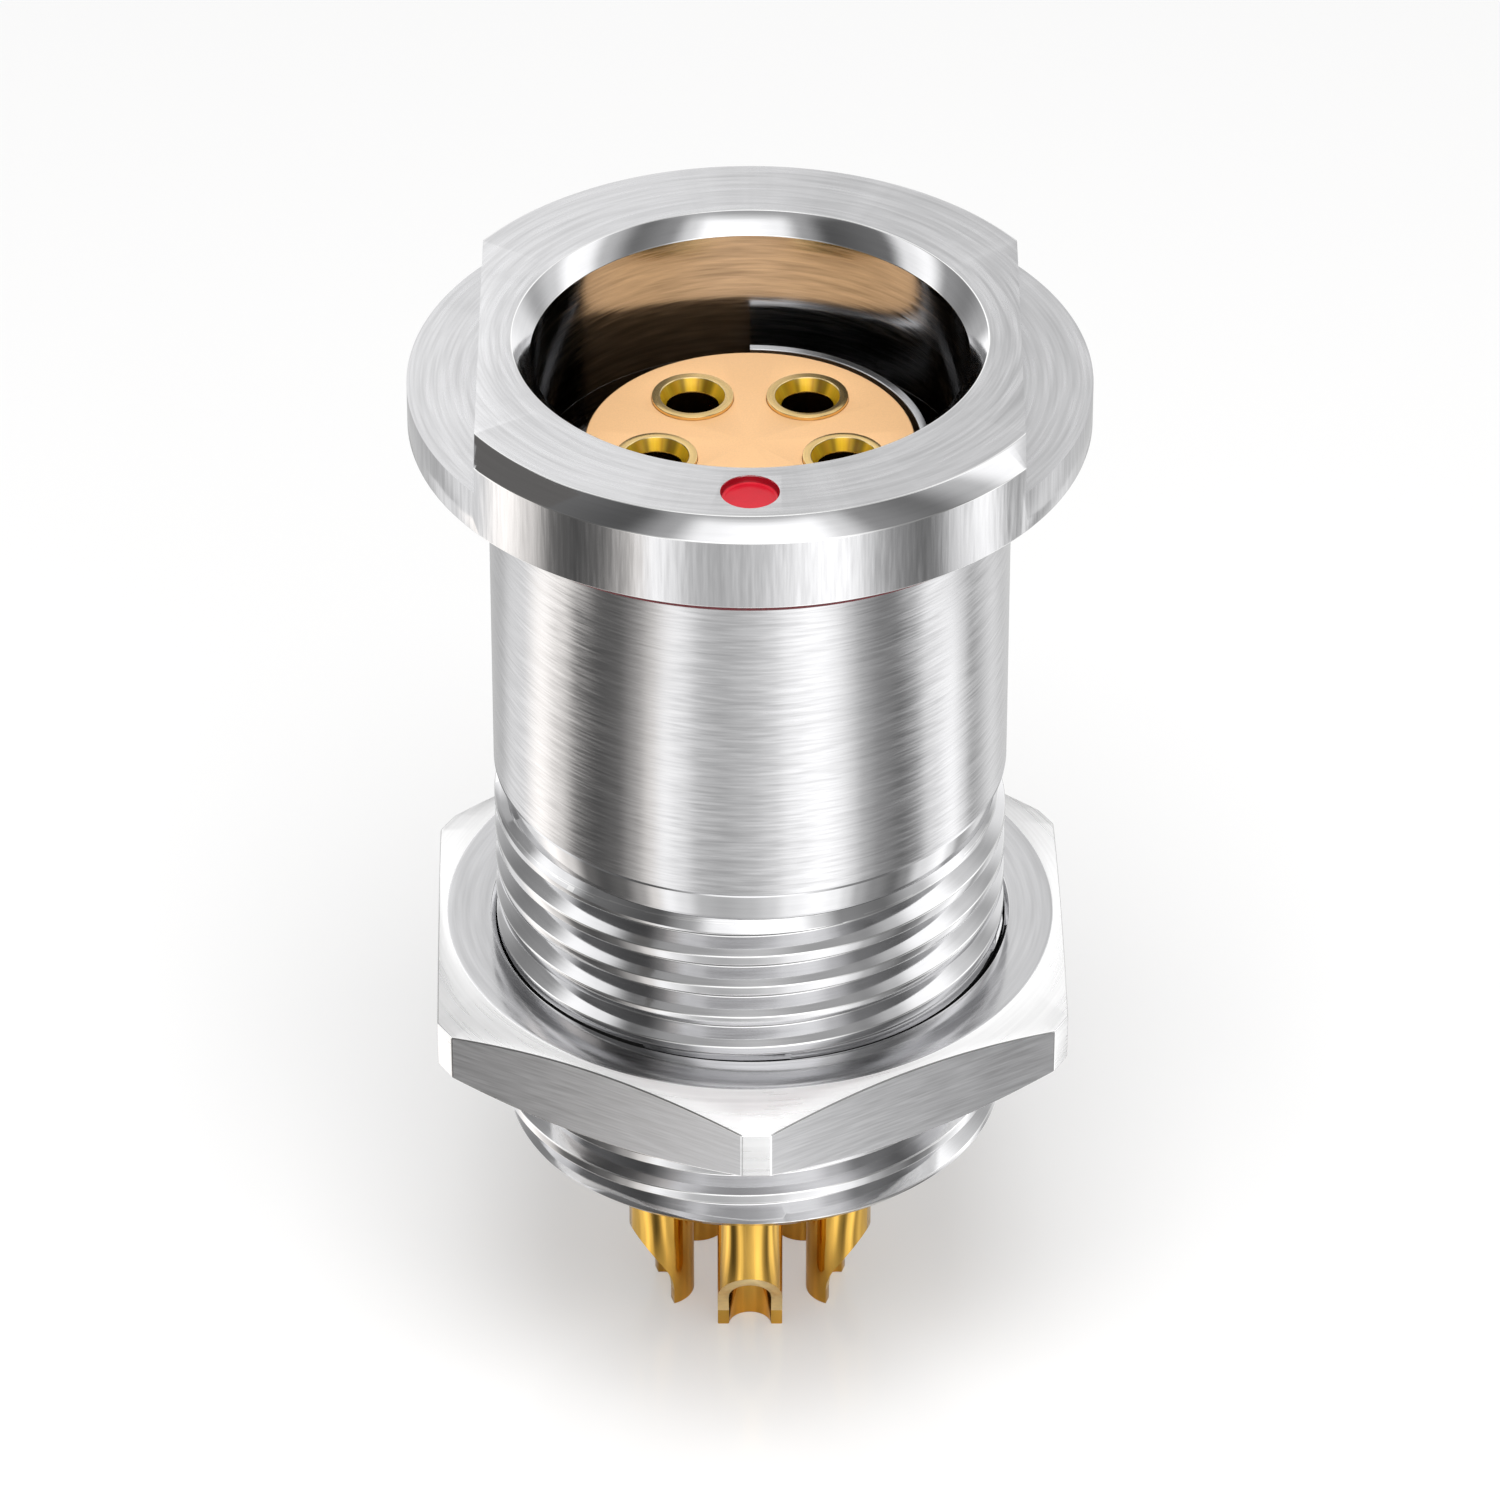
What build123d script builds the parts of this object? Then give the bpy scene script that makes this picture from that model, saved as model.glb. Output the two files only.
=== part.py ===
"""Push-pull panel receptacle with five solder-cup contacts.

The receptacle goes into a round panel hole from the front. Its flange and gasket
stay outside, and a hex nut on the rear thread clamps the panel. The plug is
pushed into the mouth and latches in a groove inside the bore.

Frame: the panel's front face is the plane Z = 0, the axis is Z and the mouth
opens towards +Z. The alignment dot on the flange points to -Y. Millimetres.
"""
import os
from math import cos, radians, sin, tan

from build123d import *

# Clearances
running_gap = 0.05
seat_gap = 0.03
face_gap = 0.05

# Shell, outside
thread_diameter = 13.82
thread_end_chamfer = 0.36
flange_diameter = 18.0
flange_thickness = 2.5
flange_edge_chamfer = 0.51
flange_step_across = 14.18
flange_step_depth = 1.27
panel_barrel_length = 10.1
thread_relief_width = 0.85
thread_relief_depth = 0.45
threaded_length = 10.45

# Panel gasket
gasket_diameter = 16.98
gasket_thickness = 0.5

# Shell, inside
mouth_bore_diameter = 11.5
mouth_chamfer = 0.5
mouth_bore_depth = 9.4
latch_groove_depth = 0.3
latch_groove_width = 1.5
latch_groove_below_face = 4.3
shoulder_thickness = 1.4
rear_bore_diameter = 11.1
rear_bore_chamfer = 0.3

# Alignment dot in the flange
dot_diameter = 1.53
dot_pocket_depth = 0.8
dot_sunk = 0.2

# Hex nut
nut_across_flats = 17.0
nut_corner_diameter = 19.2
nut_face_diameter = 16.48
nut_height = 2.45
nut_chamfer_height = 0.55
nut_bore_chamfer = 0.2
nut_below_panel = 15.43
nut_turned = 31.0

# Contact carrier, a metal sleeve with a half-moon front
carrier_diameter = 9.5
carrier_front_wall = 0.24
half_moon_gap = 0.14
insulator_below_face = 3.3
half_moon_length = 5.1
carrier_flange_thickness = 1.6
carrier_tail_wall = 0.6
carrier_tail_length = 6.6
carrier_key_width = 1.0
carrier_key_height = 0.6

# Seal around the carrier's flange, a moulded ring of square section
seal_section = 0.6
seal_edge_chamfer = 0.15
seal_groove_width = 0.75

# Insulators
insulator_split_below_face = 12.0
rear_insulator_collar_thickness = 1.4
rear_insulator_nose_length = 2.6
rear_insulator_nose_step = 0.22

# Retaining ring
ring_thickness = 1.8
ring_slot_width = 1.2
ring_slot_depth = 0.8
ring_slot_count = 4

# Earthing crown
crown_wall = 0.15
crown_height = 2.8
crown_finger_count = 12
crown_slot_width = 0.5
crown_base_height = 0.5

# Contacts
contact_count = 5
contact_start_angle = -90
contact_circle_diameter = 5.18
barrel_diameter = 2.17
socket_diameter = 1.36
socket_depth = 5.0
socket_slot_width = 0.22
socket_slot_length = 4.0
tail_diameter = 1.73
cup_bore_diameter = 1.15
cup_depth = 4.4
cup_tip_below_panel = 28.03
cup_cut_inside_axis = 0.08
cup_cut_length = 2.25
cup_cut_slope = 50.0
cup_cut_fillet = 1.1

# Hoods that guide the pins into the contacts
hood_pin_hole_diameter = 1.38
hood_countersink_diameter = 1.73
hood_countersink_depth = 0.36
hood_length = 1.2
hood_proud = 0.1

# Levels along the axis
flange_back_z = gasket_thickness
face_z = flange_back_z + flange_thickness
barrel_end_z = -panel_barrel_length
thread_start_z = barrel_end_z - thread_relief_width
shell_end_z = thread_start_z - threaded_length
mouth_floor_z = face_z - mouth_bore_depth
shoulder_back_z = mouth_floor_z - shoulder_thickness
carrier_flange_back_z = shoulder_back_z - carrier_flange_thickness
carrier_tail_z = carrier_flange_back_z - carrier_tail_length
insulator_face_z = face_z - insulator_below_face
half_moon_end_z = insulator_face_z - half_moon_length
insulator_split_z = face_z - insulator_split_below_face
rear_collar_back_z = carrier_tail_z - rear_insulator_collar_thickness
rear_nose_z = rear_collar_back_z - rear_insulator_nose_length
nut_top_z = -nut_below_panel
nut_bottom_z = nut_top_z - nut_height
hood_front_z = insulator_face_z + hood_proud
hood_back_z = hood_front_z - hood_length
contact_front_z = hood_back_z - face_gap
socket_floor_z = contact_front_z - socket_depth
cup_tip_z = -cup_tip_below_panel

# Radii
thread_radius = thread_diameter / 2
flange_radius = flange_diameter / 2
mouth_radius = mouth_bore_diameter / 2
rear_bore_radius = rear_bore_diameter / 2
carrier_radius = carrier_diameter / 2
shoulder_radius = carrier_radius + running_gap
carrier_flange_radius = rear_bore_radius - running_gap
half_moon_bore_radius = carrier_radius - carrier_front_wall
insulator_radius = half_moon_bore_radius - half_moon_gap
carrier_bore_radius = insulator_radius + seat_gap
carrier_tail_radius = carrier_bore_radius + carrier_tail_wall
rear_nose_radius = insulator_radius - rear_insulator_nose_step
barrel_radius = barrel_diameter / 2
tail_radius = tail_diameter / 2
contact_circle_radius = contact_circle_diameter / 2

os.makedirs("parts", exist_ok=True)


def section(points, plane=Plane.XZ):
    """Half section of a turned piece, from a closed list of radius and height pairs."""
    with BuildSketch(plane) as outline:
        with BuildLine():
            Polyline(*points, close=True)
        make_face()
    return outline.sketch


def keep(piece, name):
    """Label one finished piece and write it to its own file."""
    piece.part.label = name
    export_step(piece.part, f"parts/{name}.step")


# Shell: flange, panel barrel, thread blank, mouth, latch groove and rear bore
relief_radius = thread_radius - thread_relief_depth
groove_top_z = face_z - latch_groove_below_face
groove_bottom_z = groove_top_z - latch_groove_width
groove_radius = mouth_radius + latch_groove_depth
step_half = flange_step_across / 2
step_reach = flange_radius - step_half + running_gap
dot_y = -(mouth_radius + mouth_chamfer + flange_radius - flange_edge_chamfer) / 2

with BuildPart() as shell:
    revolve(section([
        (mouth_radius + mouth_chamfer, face_z),
        (flange_radius - flange_edge_chamfer, face_z),
        (flange_radius, face_z - flange_edge_chamfer),
        (flange_radius, flange_back_z),
        (thread_radius, flange_back_z),
        (thread_radius, barrel_end_z),
        (relief_radius, barrel_end_z - thread_relief_depth / 2),
        (relief_radius, thread_start_z + thread_relief_depth / 2),
        (thread_radius, thread_start_z),
        (thread_radius, shell_end_z + thread_end_chamfer),
        (thread_radius - thread_end_chamfer, shell_end_z),
        (rear_bore_radius + rear_bore_chamfer, shell_end_z),
        (rear_bore_radius, shell_end_z + rear_bore_chamfer),
        (rear_bore_radius, shoulder_back_z),
        (shoulder_radius, shoulder_back_z),
        (shoulder_radius, mouth_floor_z),
        (mouth_radius, mouth_floor_z),
        (mouth_radius, groove_bottom_z),
        (groove_radius, groove_bottom_z),
        (groove_radius, groove_top_z),
        (mouth_radius, groove_top_z),
        (mouth_radius, face_z - mouth_chamfer),
    ]), axis=Axis.Z)
    # Milled steps on both sides of the flange, for a fitting spanner
    with Locations(
        (step_half, 0, face_z),
        (-step_half - step_reach, 0, face_z),
    ):
        Box(
            step_reach,
            flange_diameter,
            flange_step_depth,
            align=(Align.MIN, Align.CENTER, Align.MAX),
            mode=Mode.SUBTRACT,
        )
    # Pocket for the alignment dot
    with Locations((0, dot_y, face_z)):
        Hole(dot_diameter / 2, dot_pocket_depth)
    # Notch in the shoulder for the carrier's key
    with Locations((0, shoulder_radius - running_gap, shoulder_back_z)):
        Box(
            carrier_key_width + 2 * running_gap,
            rear_bore_radius - shoulder_radius + running_gap,
            carrier_key_height + running_gap,
            align=(Align.CENTER, Align.MIN, Align.MIN),
            mode=Mode.SUBTRACT,
        )
keep(shell, "shell")

with BuildPart() as red_dot:
    with BuildSketch(Plane.XY.offset(face_z - dot_pocket_depth)):
        with Locations((0, dot_y)):
            Circle(dot_diameter / 2 - seat_gap)
    extrude(amount=dot_pocket_depth - dot_sunk)
keep(red_dot, "red_dot")

with BuildPart() as panel_gasket:
    with BuildSketch():
        Circle(gasket_diameter / 2)
        Circle(thread_radius + running_gap, mode=Mode.SUBTRACT)
    extrude(amount=gasket_thickness)
keep(panel_gasket, "panel_gasket")

# Hex nut: a hexagon turned down at its corners, chamfered on both faces
nut_corner_radius = nut_corner_diameter / 2
nut_face_radius = nut_face_diameter / 2
nut_bore_radius = thread_radius + running_gap
with BuildPart() as hex_nut:
    with BuildSketch(Plane.XY.offset(nut_bottom_z)):
        RegularPolygon(nut_across_flats / 2, 6, major_radius=False, rotation=nut_turned)
    extrude(amount=nut_height)
    revolve(section([
        (nut_bore_radius + nut_bore_chamfer, nut_top_z),
        (nut_face_radius, nut_top_z),
        (nut_corner_radius, nut_top_z - nut_chamfer_height),
        (nut_corner_radius, nut_bottom_z + nut_chamfer_height),
        (nut_face_radius, nut_bottom_z),
        (nut_bore_radius + nut_bore_chamfer, nut_bottom_z),
        (nut_bore_radius, nut_bottom_z + nut_bore_chamfer),
        (nut_bore_radius, nut_top_z - nut_bore_chamfer),
    ]), axis=Axis.Z, mode=Mode.INTERSECT)
keep(hex_nut, "hex_nut")

# Contact carrier: the front half of the sleeve is only a half-moon, which keys the plug
seal_floor_radius = rear_bore_radius - seal_section - 2 * seat_gap
seal_middle_z = (shoulder_back_z + carrier_flange_back_z) / 2
seal_groove_top = seal_middle_z + seal_groove_width / 2
seal_groove_bottom = seal_middle_z - seal_groove_width / 2
with BuildPart() as contact_carrier:
    revolve(section([
        (half_moon_bore_radius, insulator_face_z),
        (carrier_radius, insulator_face_z),
        (carrier_radius, shoulder_back_z),
        (carrier_flange_radius, shoulder_back_z),
        (carrier_flange_radius, seal_groove_top),
        (seal_floor_radius, seal_groove_top),
        (seal_floor_radius, seal_groove_bottom),
        (carrier_flange_radius, seal_groove_bottom),
        (carrier_flange_radius, carrier_flange_back_z),
        (carrier_tail_radius, carrier_flange_back_z),
        (carrier_tail_radius, carrier_tail_z),
        (carrier_bore_radius, carrier_tail_z),
        (carrier_bore_radius, half_moon_end_z),
        (half_moon_bore_radius, half_moon_end_z),
    ]), axis=Axis.Z)
    with Locations((0, 0, half_moon_end_z)):
        Box(
            carrier_diameter,
            carrier_diameter,
            half_moon_length,
            align=(Align.MAX, Align.CENTER, Align.MIN),
            mode=Mode.SUBTRACT,
        )
    key_inner = carrier_radius - seat_gap
    with Locations((0, key_inner, shoulder_back_z)):
        Box(
            carrier_key_width,
            carrier_flange_radius - key_inner - running_gap,
            carrier_key_height,
            align=(Align.CENTER, Align.MIN, Align.MIN),
        )
keep(contact_carrier, "contact_carrier")

seal_outer_radius = seal_floor_radius + seat_gap + seal_section
with BuildPart() as carrier_seal:
    revolve(section([
        (seal_floor_radius + seat_gap, seal_middle_z - seal_section / 2),
        (seal_outer_radius - seal_edge_chamfer, seal_middle_z - seal_section / 2),
        (seal_outer_radius, seal_middle_z - seal_section / 2 + seal_edge_chamfer),
        (seal_outer_radius, seal_middle_z + seal_section / 2 - seal_edge_chamfer),
        (seal_outer_radius - seal_edge_chamfer, seal_middle_z + seal_section / 2),
        (seal_floor_radius + seat_gap, seal_middle_z + seal_section / 2),
    ]), axis=Axis.Z)
keep(carrier_seal, "carrier_seal")

# Insulators: the front one holds the hoods and the sockets, the rear one the tails
with BuildPart() as insulator_front:
    with BuildSketch(Plane.XY.offset(insulator_split_z)):
        Circle(insulator_radius)
        with PolarLocations(contact_circle_radius, contact_count, start_angle=contact_start_angle):
            Circle(barrel_radius + seat_gap, mode=Mode.SUBTRACT)
    extrude(amount=insulator_face_z - insulator_split_z)
keep(insulator_front, "insulator_front")

rear_collar_radius = rear_bore_radius - running_gap
with BuildPart() as insulator_rear:
    revolve(section([
        (0, insulator_split_z),
        (insulator_radius, insulator_split_z),
        (insulator_radius, carrier_tail_z),
        (rear_collar_radius, carrier_tail_z),
        (rear_collar_radius, rear_collar_back_z),
        (rear_nose_radius, rear_collar_back_z),
        (rear_nose_radius, rear_nose_z),
        (0, rear_nose_z),
    ]), axis=Axis.Z)
    with Locations((0, 0, insulator_split_z)):
        with PolarLocations(contact_circle_radius, contact_count, start_angle=contact_start_angle):
            Hole(tail_radius + seat_gap)
keep(insulator_rear, "insulator_rear")

# Retaining ring: screwed into the rear bore behind the rear insulator's collar
ring_back_z = rear_collar_back_z - ring_thickness
ring_bore_radius = rear_nose_radius + running_gap
with BuildPart() as retaining_ring:
    with BuildSketch(Plane.XY.offset(ring_back_z)):
        Circle(rear_bore_radius - seat_gap)
        Circle(ring_bore_radius, mode=Mode.SUBTRACT)
    extrude(amount=ring_thickness)
    with Locations((0, 0, ring_back_z)):
        with PolarLocations((rear_bore_radius + ring_bore_radius) / 2, ring_slot_count):
            Box(
                2 * (rear_bore_radius - ring_bore_radius),
                ring_slot_width,
                ring_slot_depth,
                align=(Align.CENTER, Align.CENTER, Align.MIN),
                mode=Mode.SUBTRACT,
            )
keep(retaining_ring, "retaining_ring")

# Earthing crown: a slotted spring cup at the bottom of the gap around the carrier
crown_radius = mouth_radius - running_gap
crown_hole_radius = carrier_radius + running_gap
with BuildPart() as earth_crown:
    revolve(section([
        (crown_hole_radius, mouth_floor_z),
        (crown_radius, mouth_floor_z),
        (crown_radius, mouth_floor_z + crown_height),
        (crown_radius - crown_wall, mouth_floor_z + crown_height),
        (crown_radius - crown_wall, mouth_floor_z + crown_wall),
        (crown_hole_radius, mouth_floor_z + crown_wall),
    ]), axis=Axis.Z)
    with Locations((0, 0, mouth_floor_z + crown_base_height)):
        with PolarLocations(crown_radius - crown_wall / 2, crown_finger_count):
            Box(
                4 * crown_wall,
                crown_slot_width,
                crown_height,
                align=(Align.CENTER, Align.CENTER, Align.MIN),
                mode=Mode.SUBTRACT,
            )
keep(earth_crown, "earth_crown")

# Contacts and hoods: each contact has a slotted socket in front, whose shoulder sits on
# the rear insulator, and a tail with a solder cup, scooped on the side away from the axis
cup_floor_z = cup_tip_z + cup_depth
cup_slope_top_z = cup_tip_z + cup_cut_length
cup_slope = tan(radians(cup_cut_slope))
cup_slope_foot_z = cup_slope_top_z - (tail_radius + cup_cut_inside_axis) * cup_slope
scoop_reach = 2 * tail_radius
scoop_top_z = cup_slope_foot_z + (scoop_reach + cup_cut_inside_axis) * cup_slope
scoop_bottom_z = cup_tip_z - cup_depth
contact_outline = [
    (socket_diameter / 2, contact_front_z),
    (barrel_radius, contact_front_z),
    (barrel_radius, insulator_split_z),
    (tail_radius, insulator_split_z),
    (tail_radius, cup_tip_z),
    (cup_bore_diameter / 2, cup_tip_z),
    (cup_bore_diameter / 2, cup_floor_z),
    (0, cup_floor_z),
    (0, socket_floor_z),
    (socket_diameter / 2, socket_floor_z),
]
hood_outline = [
    (hood_countersink_diameter / 2, hood_front_z),
    (barrel_radius, hood_front_z),
    (barrel_radius, hood_back_z),
    (hood_pin_hole_diameter / 2, hood_back_z),
    (hood_pin_hole_diameter / 2, hood_front_z - hood_countersink_depth),
]
for number in range(contact_count):
    angle = radians(contact_start_angle + number * 360 / contact_count)
    outward = (cos(angle), sin(angle), 0)
    centre = (contact_circle_radius * cos(angle), contact_circle_radius * sin(angle), 0)
    side = Plane(origin=centre, x_dir=outward, z_dir=(sin(angle), -cos(angle), 0))
    contact_axis = Axis(centre, (0, 0, 1))

    with BuildPart() as contact:
        revolve(section(contact_outline, side), axis=contact_axis)
        # One saw cut makes the two springy fingers of the socket
        with BuildSketch(side):
            with Locations((0, contact_front_z)):
                Rectangle(socket_slot_width, 2 * socket_slot_length)
        extrude(amount=barrel_diameter, both=True, mode=Mode.SUBTRACT)
        # Scoop that opens the cup for the wire
        with BuildSketch(side):
            with BuildLine():
                scoop = FilletPolyline(
                    (-cup_cut_inside_axis, scoop_bottom_z),
                    (-cup_cut_inside_axis, cup_slope_foot_z),
                    (scoop_reach, scoop_top_z),
                    radius=cup_cut_fillet,
                )
                Polyline(scoop @ 1, (scoop_reach, scoop_bottom_z), scoop @ 0)
            make_face()
        extrude(amount=scoop_reach, both=True, mode=Mode.SUBTRACT)
    keep(contact, f"contact_{number + 1}")

    with BuildPart() as contact_hood:
        revolve(section(hood_outline, side), axis=contact_axis)
    keep(contact_hood, f"contact_hood_{number + 1}")
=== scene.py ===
"""Push-pull panel receptacle: turned metal shell, hex nut, gasket, contacts and insulators.

Every piece is modelled in millimetres in the frame's own axes and stored in metres.
"""

from math import cos, hypot, pi, radians, sin, tan

import bmesh
import bpy
from bpy.props import FloatProperty, FloatVectorProperty, PointerProperty
from bpy.types import Operator, Panel, PropertyGroup
from mathutils import Matrix, Vector


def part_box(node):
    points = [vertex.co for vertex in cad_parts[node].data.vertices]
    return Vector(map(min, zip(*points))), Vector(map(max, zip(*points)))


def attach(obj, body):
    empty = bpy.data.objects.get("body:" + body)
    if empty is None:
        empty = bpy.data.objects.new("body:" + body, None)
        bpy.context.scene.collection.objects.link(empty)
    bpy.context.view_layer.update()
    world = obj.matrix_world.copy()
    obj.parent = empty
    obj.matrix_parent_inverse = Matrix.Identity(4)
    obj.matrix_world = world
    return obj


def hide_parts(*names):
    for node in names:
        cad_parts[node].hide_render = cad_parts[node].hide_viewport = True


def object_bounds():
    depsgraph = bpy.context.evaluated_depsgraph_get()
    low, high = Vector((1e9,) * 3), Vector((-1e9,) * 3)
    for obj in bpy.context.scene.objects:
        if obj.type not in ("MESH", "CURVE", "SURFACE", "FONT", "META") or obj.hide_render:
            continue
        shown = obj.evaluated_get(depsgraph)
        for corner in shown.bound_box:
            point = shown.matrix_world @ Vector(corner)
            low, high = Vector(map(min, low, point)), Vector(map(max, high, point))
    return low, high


bl_info = {
    "name": "Panel Receptacle",
    "version": (1, 0, 0),
    "blender": (4, 5, 0),
    "location": "3D View > Sidebar > Receptacle",
    "description": "Models a push-pull panel receptacle and its studio",
    "category": "Add Mesh",
}

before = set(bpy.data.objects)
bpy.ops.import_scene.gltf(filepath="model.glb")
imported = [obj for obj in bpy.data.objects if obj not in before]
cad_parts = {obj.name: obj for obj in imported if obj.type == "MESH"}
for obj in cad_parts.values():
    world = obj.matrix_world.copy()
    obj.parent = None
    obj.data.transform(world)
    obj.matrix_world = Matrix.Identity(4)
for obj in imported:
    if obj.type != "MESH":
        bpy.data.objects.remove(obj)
cad_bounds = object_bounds()

MM = 0.001
OWN_PLACE = "own_place"
WHITE = (1.0, 1.0, 1.0, 1.0)
# Point that both lamps face, in millimetres
LAMP_AIM = (0.0, 0.0, -10.0)
# In millimetres: height over which the shell's grooves run out at the nut's faces, width under which
# a face counts as a rounded edge, on turned pieces and on the thread, room that cutters need, and the
# carrier's outer radius, kept exact because its half is cut off through the middle of its vertices
NUT_RUN_OUT = 0.12
EDGE_WIDTH = 0.03
THREAD_EDGE_WIDTH = 0.022
CUTTER_ROOM = 1.0
CARRIER_RADIUS = 4.75
# Values between which the noise of a mask mostly lies, and the noise that fine lines are made of
MASK_RANGE = (0.3, 0.7)
LINE_NOISE = {"Scale": 1.0, "Detail": 1.5, "Roughness": 0.6}
# Cards round the part as reflections see them: azimuth from the dot's side in degrees, brightness
LOW_CARDS = (
    (-180, 0.62), (-136, 0.58), (-122, 0.95), (-113, 0.98), (-98, 1.58), (-86, 0.95), (-75, 0.12),
    (-66, 0.04), (-56, 0.1), (-47, 0.45), (-41, 1.0), (-35, 1.42), (-28, 1.14), (-20, 0.66),
    (-11, 0.58), (0, 0.7), (9, 0.93), (17, 1.35), (29, 1.62), (37, 1.42), (42, 1.05), (47, 0.58),
    (55, 0.3), (65, 0.14), (71, 0.3), (80, 1.05), (94, 1.55), (100, 1.08), (107, 0.48),
    (126, 0.95), (140, 0.72), (180, 0.62),
)
HIGH_CARDS = (
    (-180, 0.95), (-165, 1.1), (-152, 1.7), (-142, 0.6), (-126, 0.3), (-114, 0.4), (-103, 1.5),
    (-92, 1.2), (-80, 0.2), (-48, 0.12), (-32, 0.5), (-18, 1.4), (0, 1.6), (26, 1.6), (36, 1.0), (48, 0.35),
    (68, 0.22), (85, 0.7), (95, 1.5), (104, 1.6), (114, 0.9), (126, 0.55), (138, 1.1), (152, 1.4),
    (165, 0.82), (180, 0.95),
)
# Painted highlights and shade round the countersink of a hood, by azimuth from the dot's side
SINK_PAINTED_LIGHT = (
    (-180, 1.0), (-172, 1.0), (-160, 0.36), (-148, 0.55), (-134, 0.38), (-115, 0.5), (-60, 0.7),
    (0, 0.7), (60, 0.7), (115, 0.5), (130, 0.7), (144, 0.24), (157, 0.24), (168, 0.6), (176, 1.0),
    (180, 1.0),
)
# Low cards between these azimuths are warm by this share
WARM_CARDS = (-108, -36)
CARD_WARMTH = 0.08
CONTACTS = [f"contact_{number}" for number in range(1, 6)]
HOODS = [f"contact_hood_{number}" for number in range(1, 6)]


def node_box(node):
    """Lowest and highest corner of a node of the frame, in millimetres."""
    low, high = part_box(node)
    return low / MM, high / MM


SHELL_LOW, SHELL_HIGH = node_box("shell")
GASKET_LOW, GASKET_HIGH = node_box("panel_gasket")
NUT_LOW, NUT_HIGH = node_box("hex_nut")
DOT_LOW, DOT_HIGH = node_box("red_dot")
CARRIER_LOW, CARRIER_HIGH = node_box("contact_carrier")
FRONT_LOW, FRONT_HIGH = node_box("insulator_front")
REAR_LOW, REAR_HIGH = node_box("insulator_rear")
RING_LOW, RING_HIGH = node_box("retaining_ring")
CONTACT_LOW, CONTACT_HIGH = node_box(CONTACTS[0])
HOOD_LOW, HOOD_HIGH = node_box(HOODS[0])


def length(name, description, millimetres, lowest=0.0):
    """A size property, given in millimetres and kept in metres."""
    return FloatProperty(
        name=name,
        description=description,
        default=millimetres * MM,
        min=lowest,
        precision=5,
        unit="LENGTH",
    )


def turn(name, description, degrees):
    """An angle property, given in degrees and kept in radians."""
    return FloatProperty(name=name, description=description, default=radians(degrees), subtype="ANGLE")


def power(name, description, watts):
    """The power of a lamp."""
    return FloatProperty(name=name, description=description, default=watts, min=0.0, unit="POWER")


def share(name, description, value):
    """A plain factor between 0 and 1."""
    return FloatProperty(
        name=name,
        description=description,
        default=value,
        min=0.0,
        max=1.0,
        subtype="FACTOR",
    )


def colour(name, description, value):
    """A colour property in linear light."""
    return FloatVectorProperty(
        name=name,
        description=description,
        default=value,
        size=3,
        min=0.0,
        max=1.0,
        subtype="COLOR",
    )


def mm(value):
    """A stored length in millimetres, for the meshes, which are built at that scale."""
    return value / MM


class ShellSizes(PropertyGroup):
    """Sizes of the turned shell"""

    barrel_radius: length("Barrel radius", "Radius of the plain barrel and of the thread's crests", 6.91)
    barrel_end: length("Barrel end", "Depth of the barrel's lower end below the panel's face", 10.1)
    relief_radius: length("Relief radius", "Radius of the plain band above the thread", 6.64)
    thread_start: length("Thread start", "Depth of the first thread turn below the panel's face", 11.05)
    pitch: length("Pitch", "Distance between two turns of the thread", 1.0)
    thread_depth: length("Thread depth", "Height of the thread's ridges", 0.52)
    crest_flat: length("Crest flat", "Width of the flat on top of each ridge", 0.27)
    root_flat: length("Root flat", "Width of the flat between two ridges", 0.14)
    crest_phase: length("Crest phase", "Depth of the first ridge's lower edge at the dot's side", 11.35)
    end_chamfer: length("End chamfer", "Chamfer at the rear end of the thread", 0.36)
    flange_chamfer: length("Flange chamfer", "Chamfer round the flange's front edge", 0.51)
    mouth_radius: length("Mouth radius", "Radius of the bore in the mouth", 5.75)
    mouth_chamfer: length("Mouth chamfer", "Chamfer round the mouth", 0.5)
    mouth_depth: length("Mouth depth", "Depth of the front bore below the flange's face", 9.4)
    groove_depth: length("Latch groove depth", "Depth of the latch groove in the bore's wall", 0.3)
    groove_top: length("Latch groove top", "Distance of the latch groove below the flange's face", 4.3)
    groove_width: length("Latch groove width", "Width of the latch groove", 1.5)
    shoulder_radius: length("Shoulder radius", "Inner radius of the shoulder inside the shell", 4.8)
    shoulder_thickness: length("Shoulder thickness", "Thickness of the shoulder inside the shell", 1.4)
    rear_bore_radius: length("Rear bore radius", "Radius of the rear bore", 5.55)
    rear_chamfer: length("Rear chamfer", "Chamfer at the end of the rear bore", 0.3)
    step_across: length("Step across", "Distance between the two milled steps of the flange", 14.18)
    step_depth: length("Step depth", "Depth of the milled steps below the flange's face", 1.27)
    edge: length("Edge break", "Rounding of the turned edges", 0.05)
    cut_edge: length("Cut edge break", "Rounding of the edges of the steps and the pocket", 0.04)
    lip: length("Barrel lip", "Height of the bright lip at the barrel's lower end", 0.04)
    pocket_gap: length("Pocket gap", "Room between the dot and the wall of its pocket", 0.03)


class NutSizes(PropertyGroup):
    """Sizes of the hex nut"""

    across_flats: length("Across flats", "Distance between two opposite flats", 17.0)
    face_radius: length("Face radius", "Radius of the flat ring on each face", 8.24)
    chamfer_height: length("Chamfer height", "Height of the chamfer at the corners", 0.55)
    bore_radius: length("Bore radius", "Inner radius of the nut", 6.945)
    bore_chamfer: length("Bore chamfer", "Countersink of the bore", 0.12)
    turned: turn("Turned", "Turn of the flats about the axis", 31.0)
    edge: length("Edge break", "Rounding of the edges", 0.035)


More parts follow.
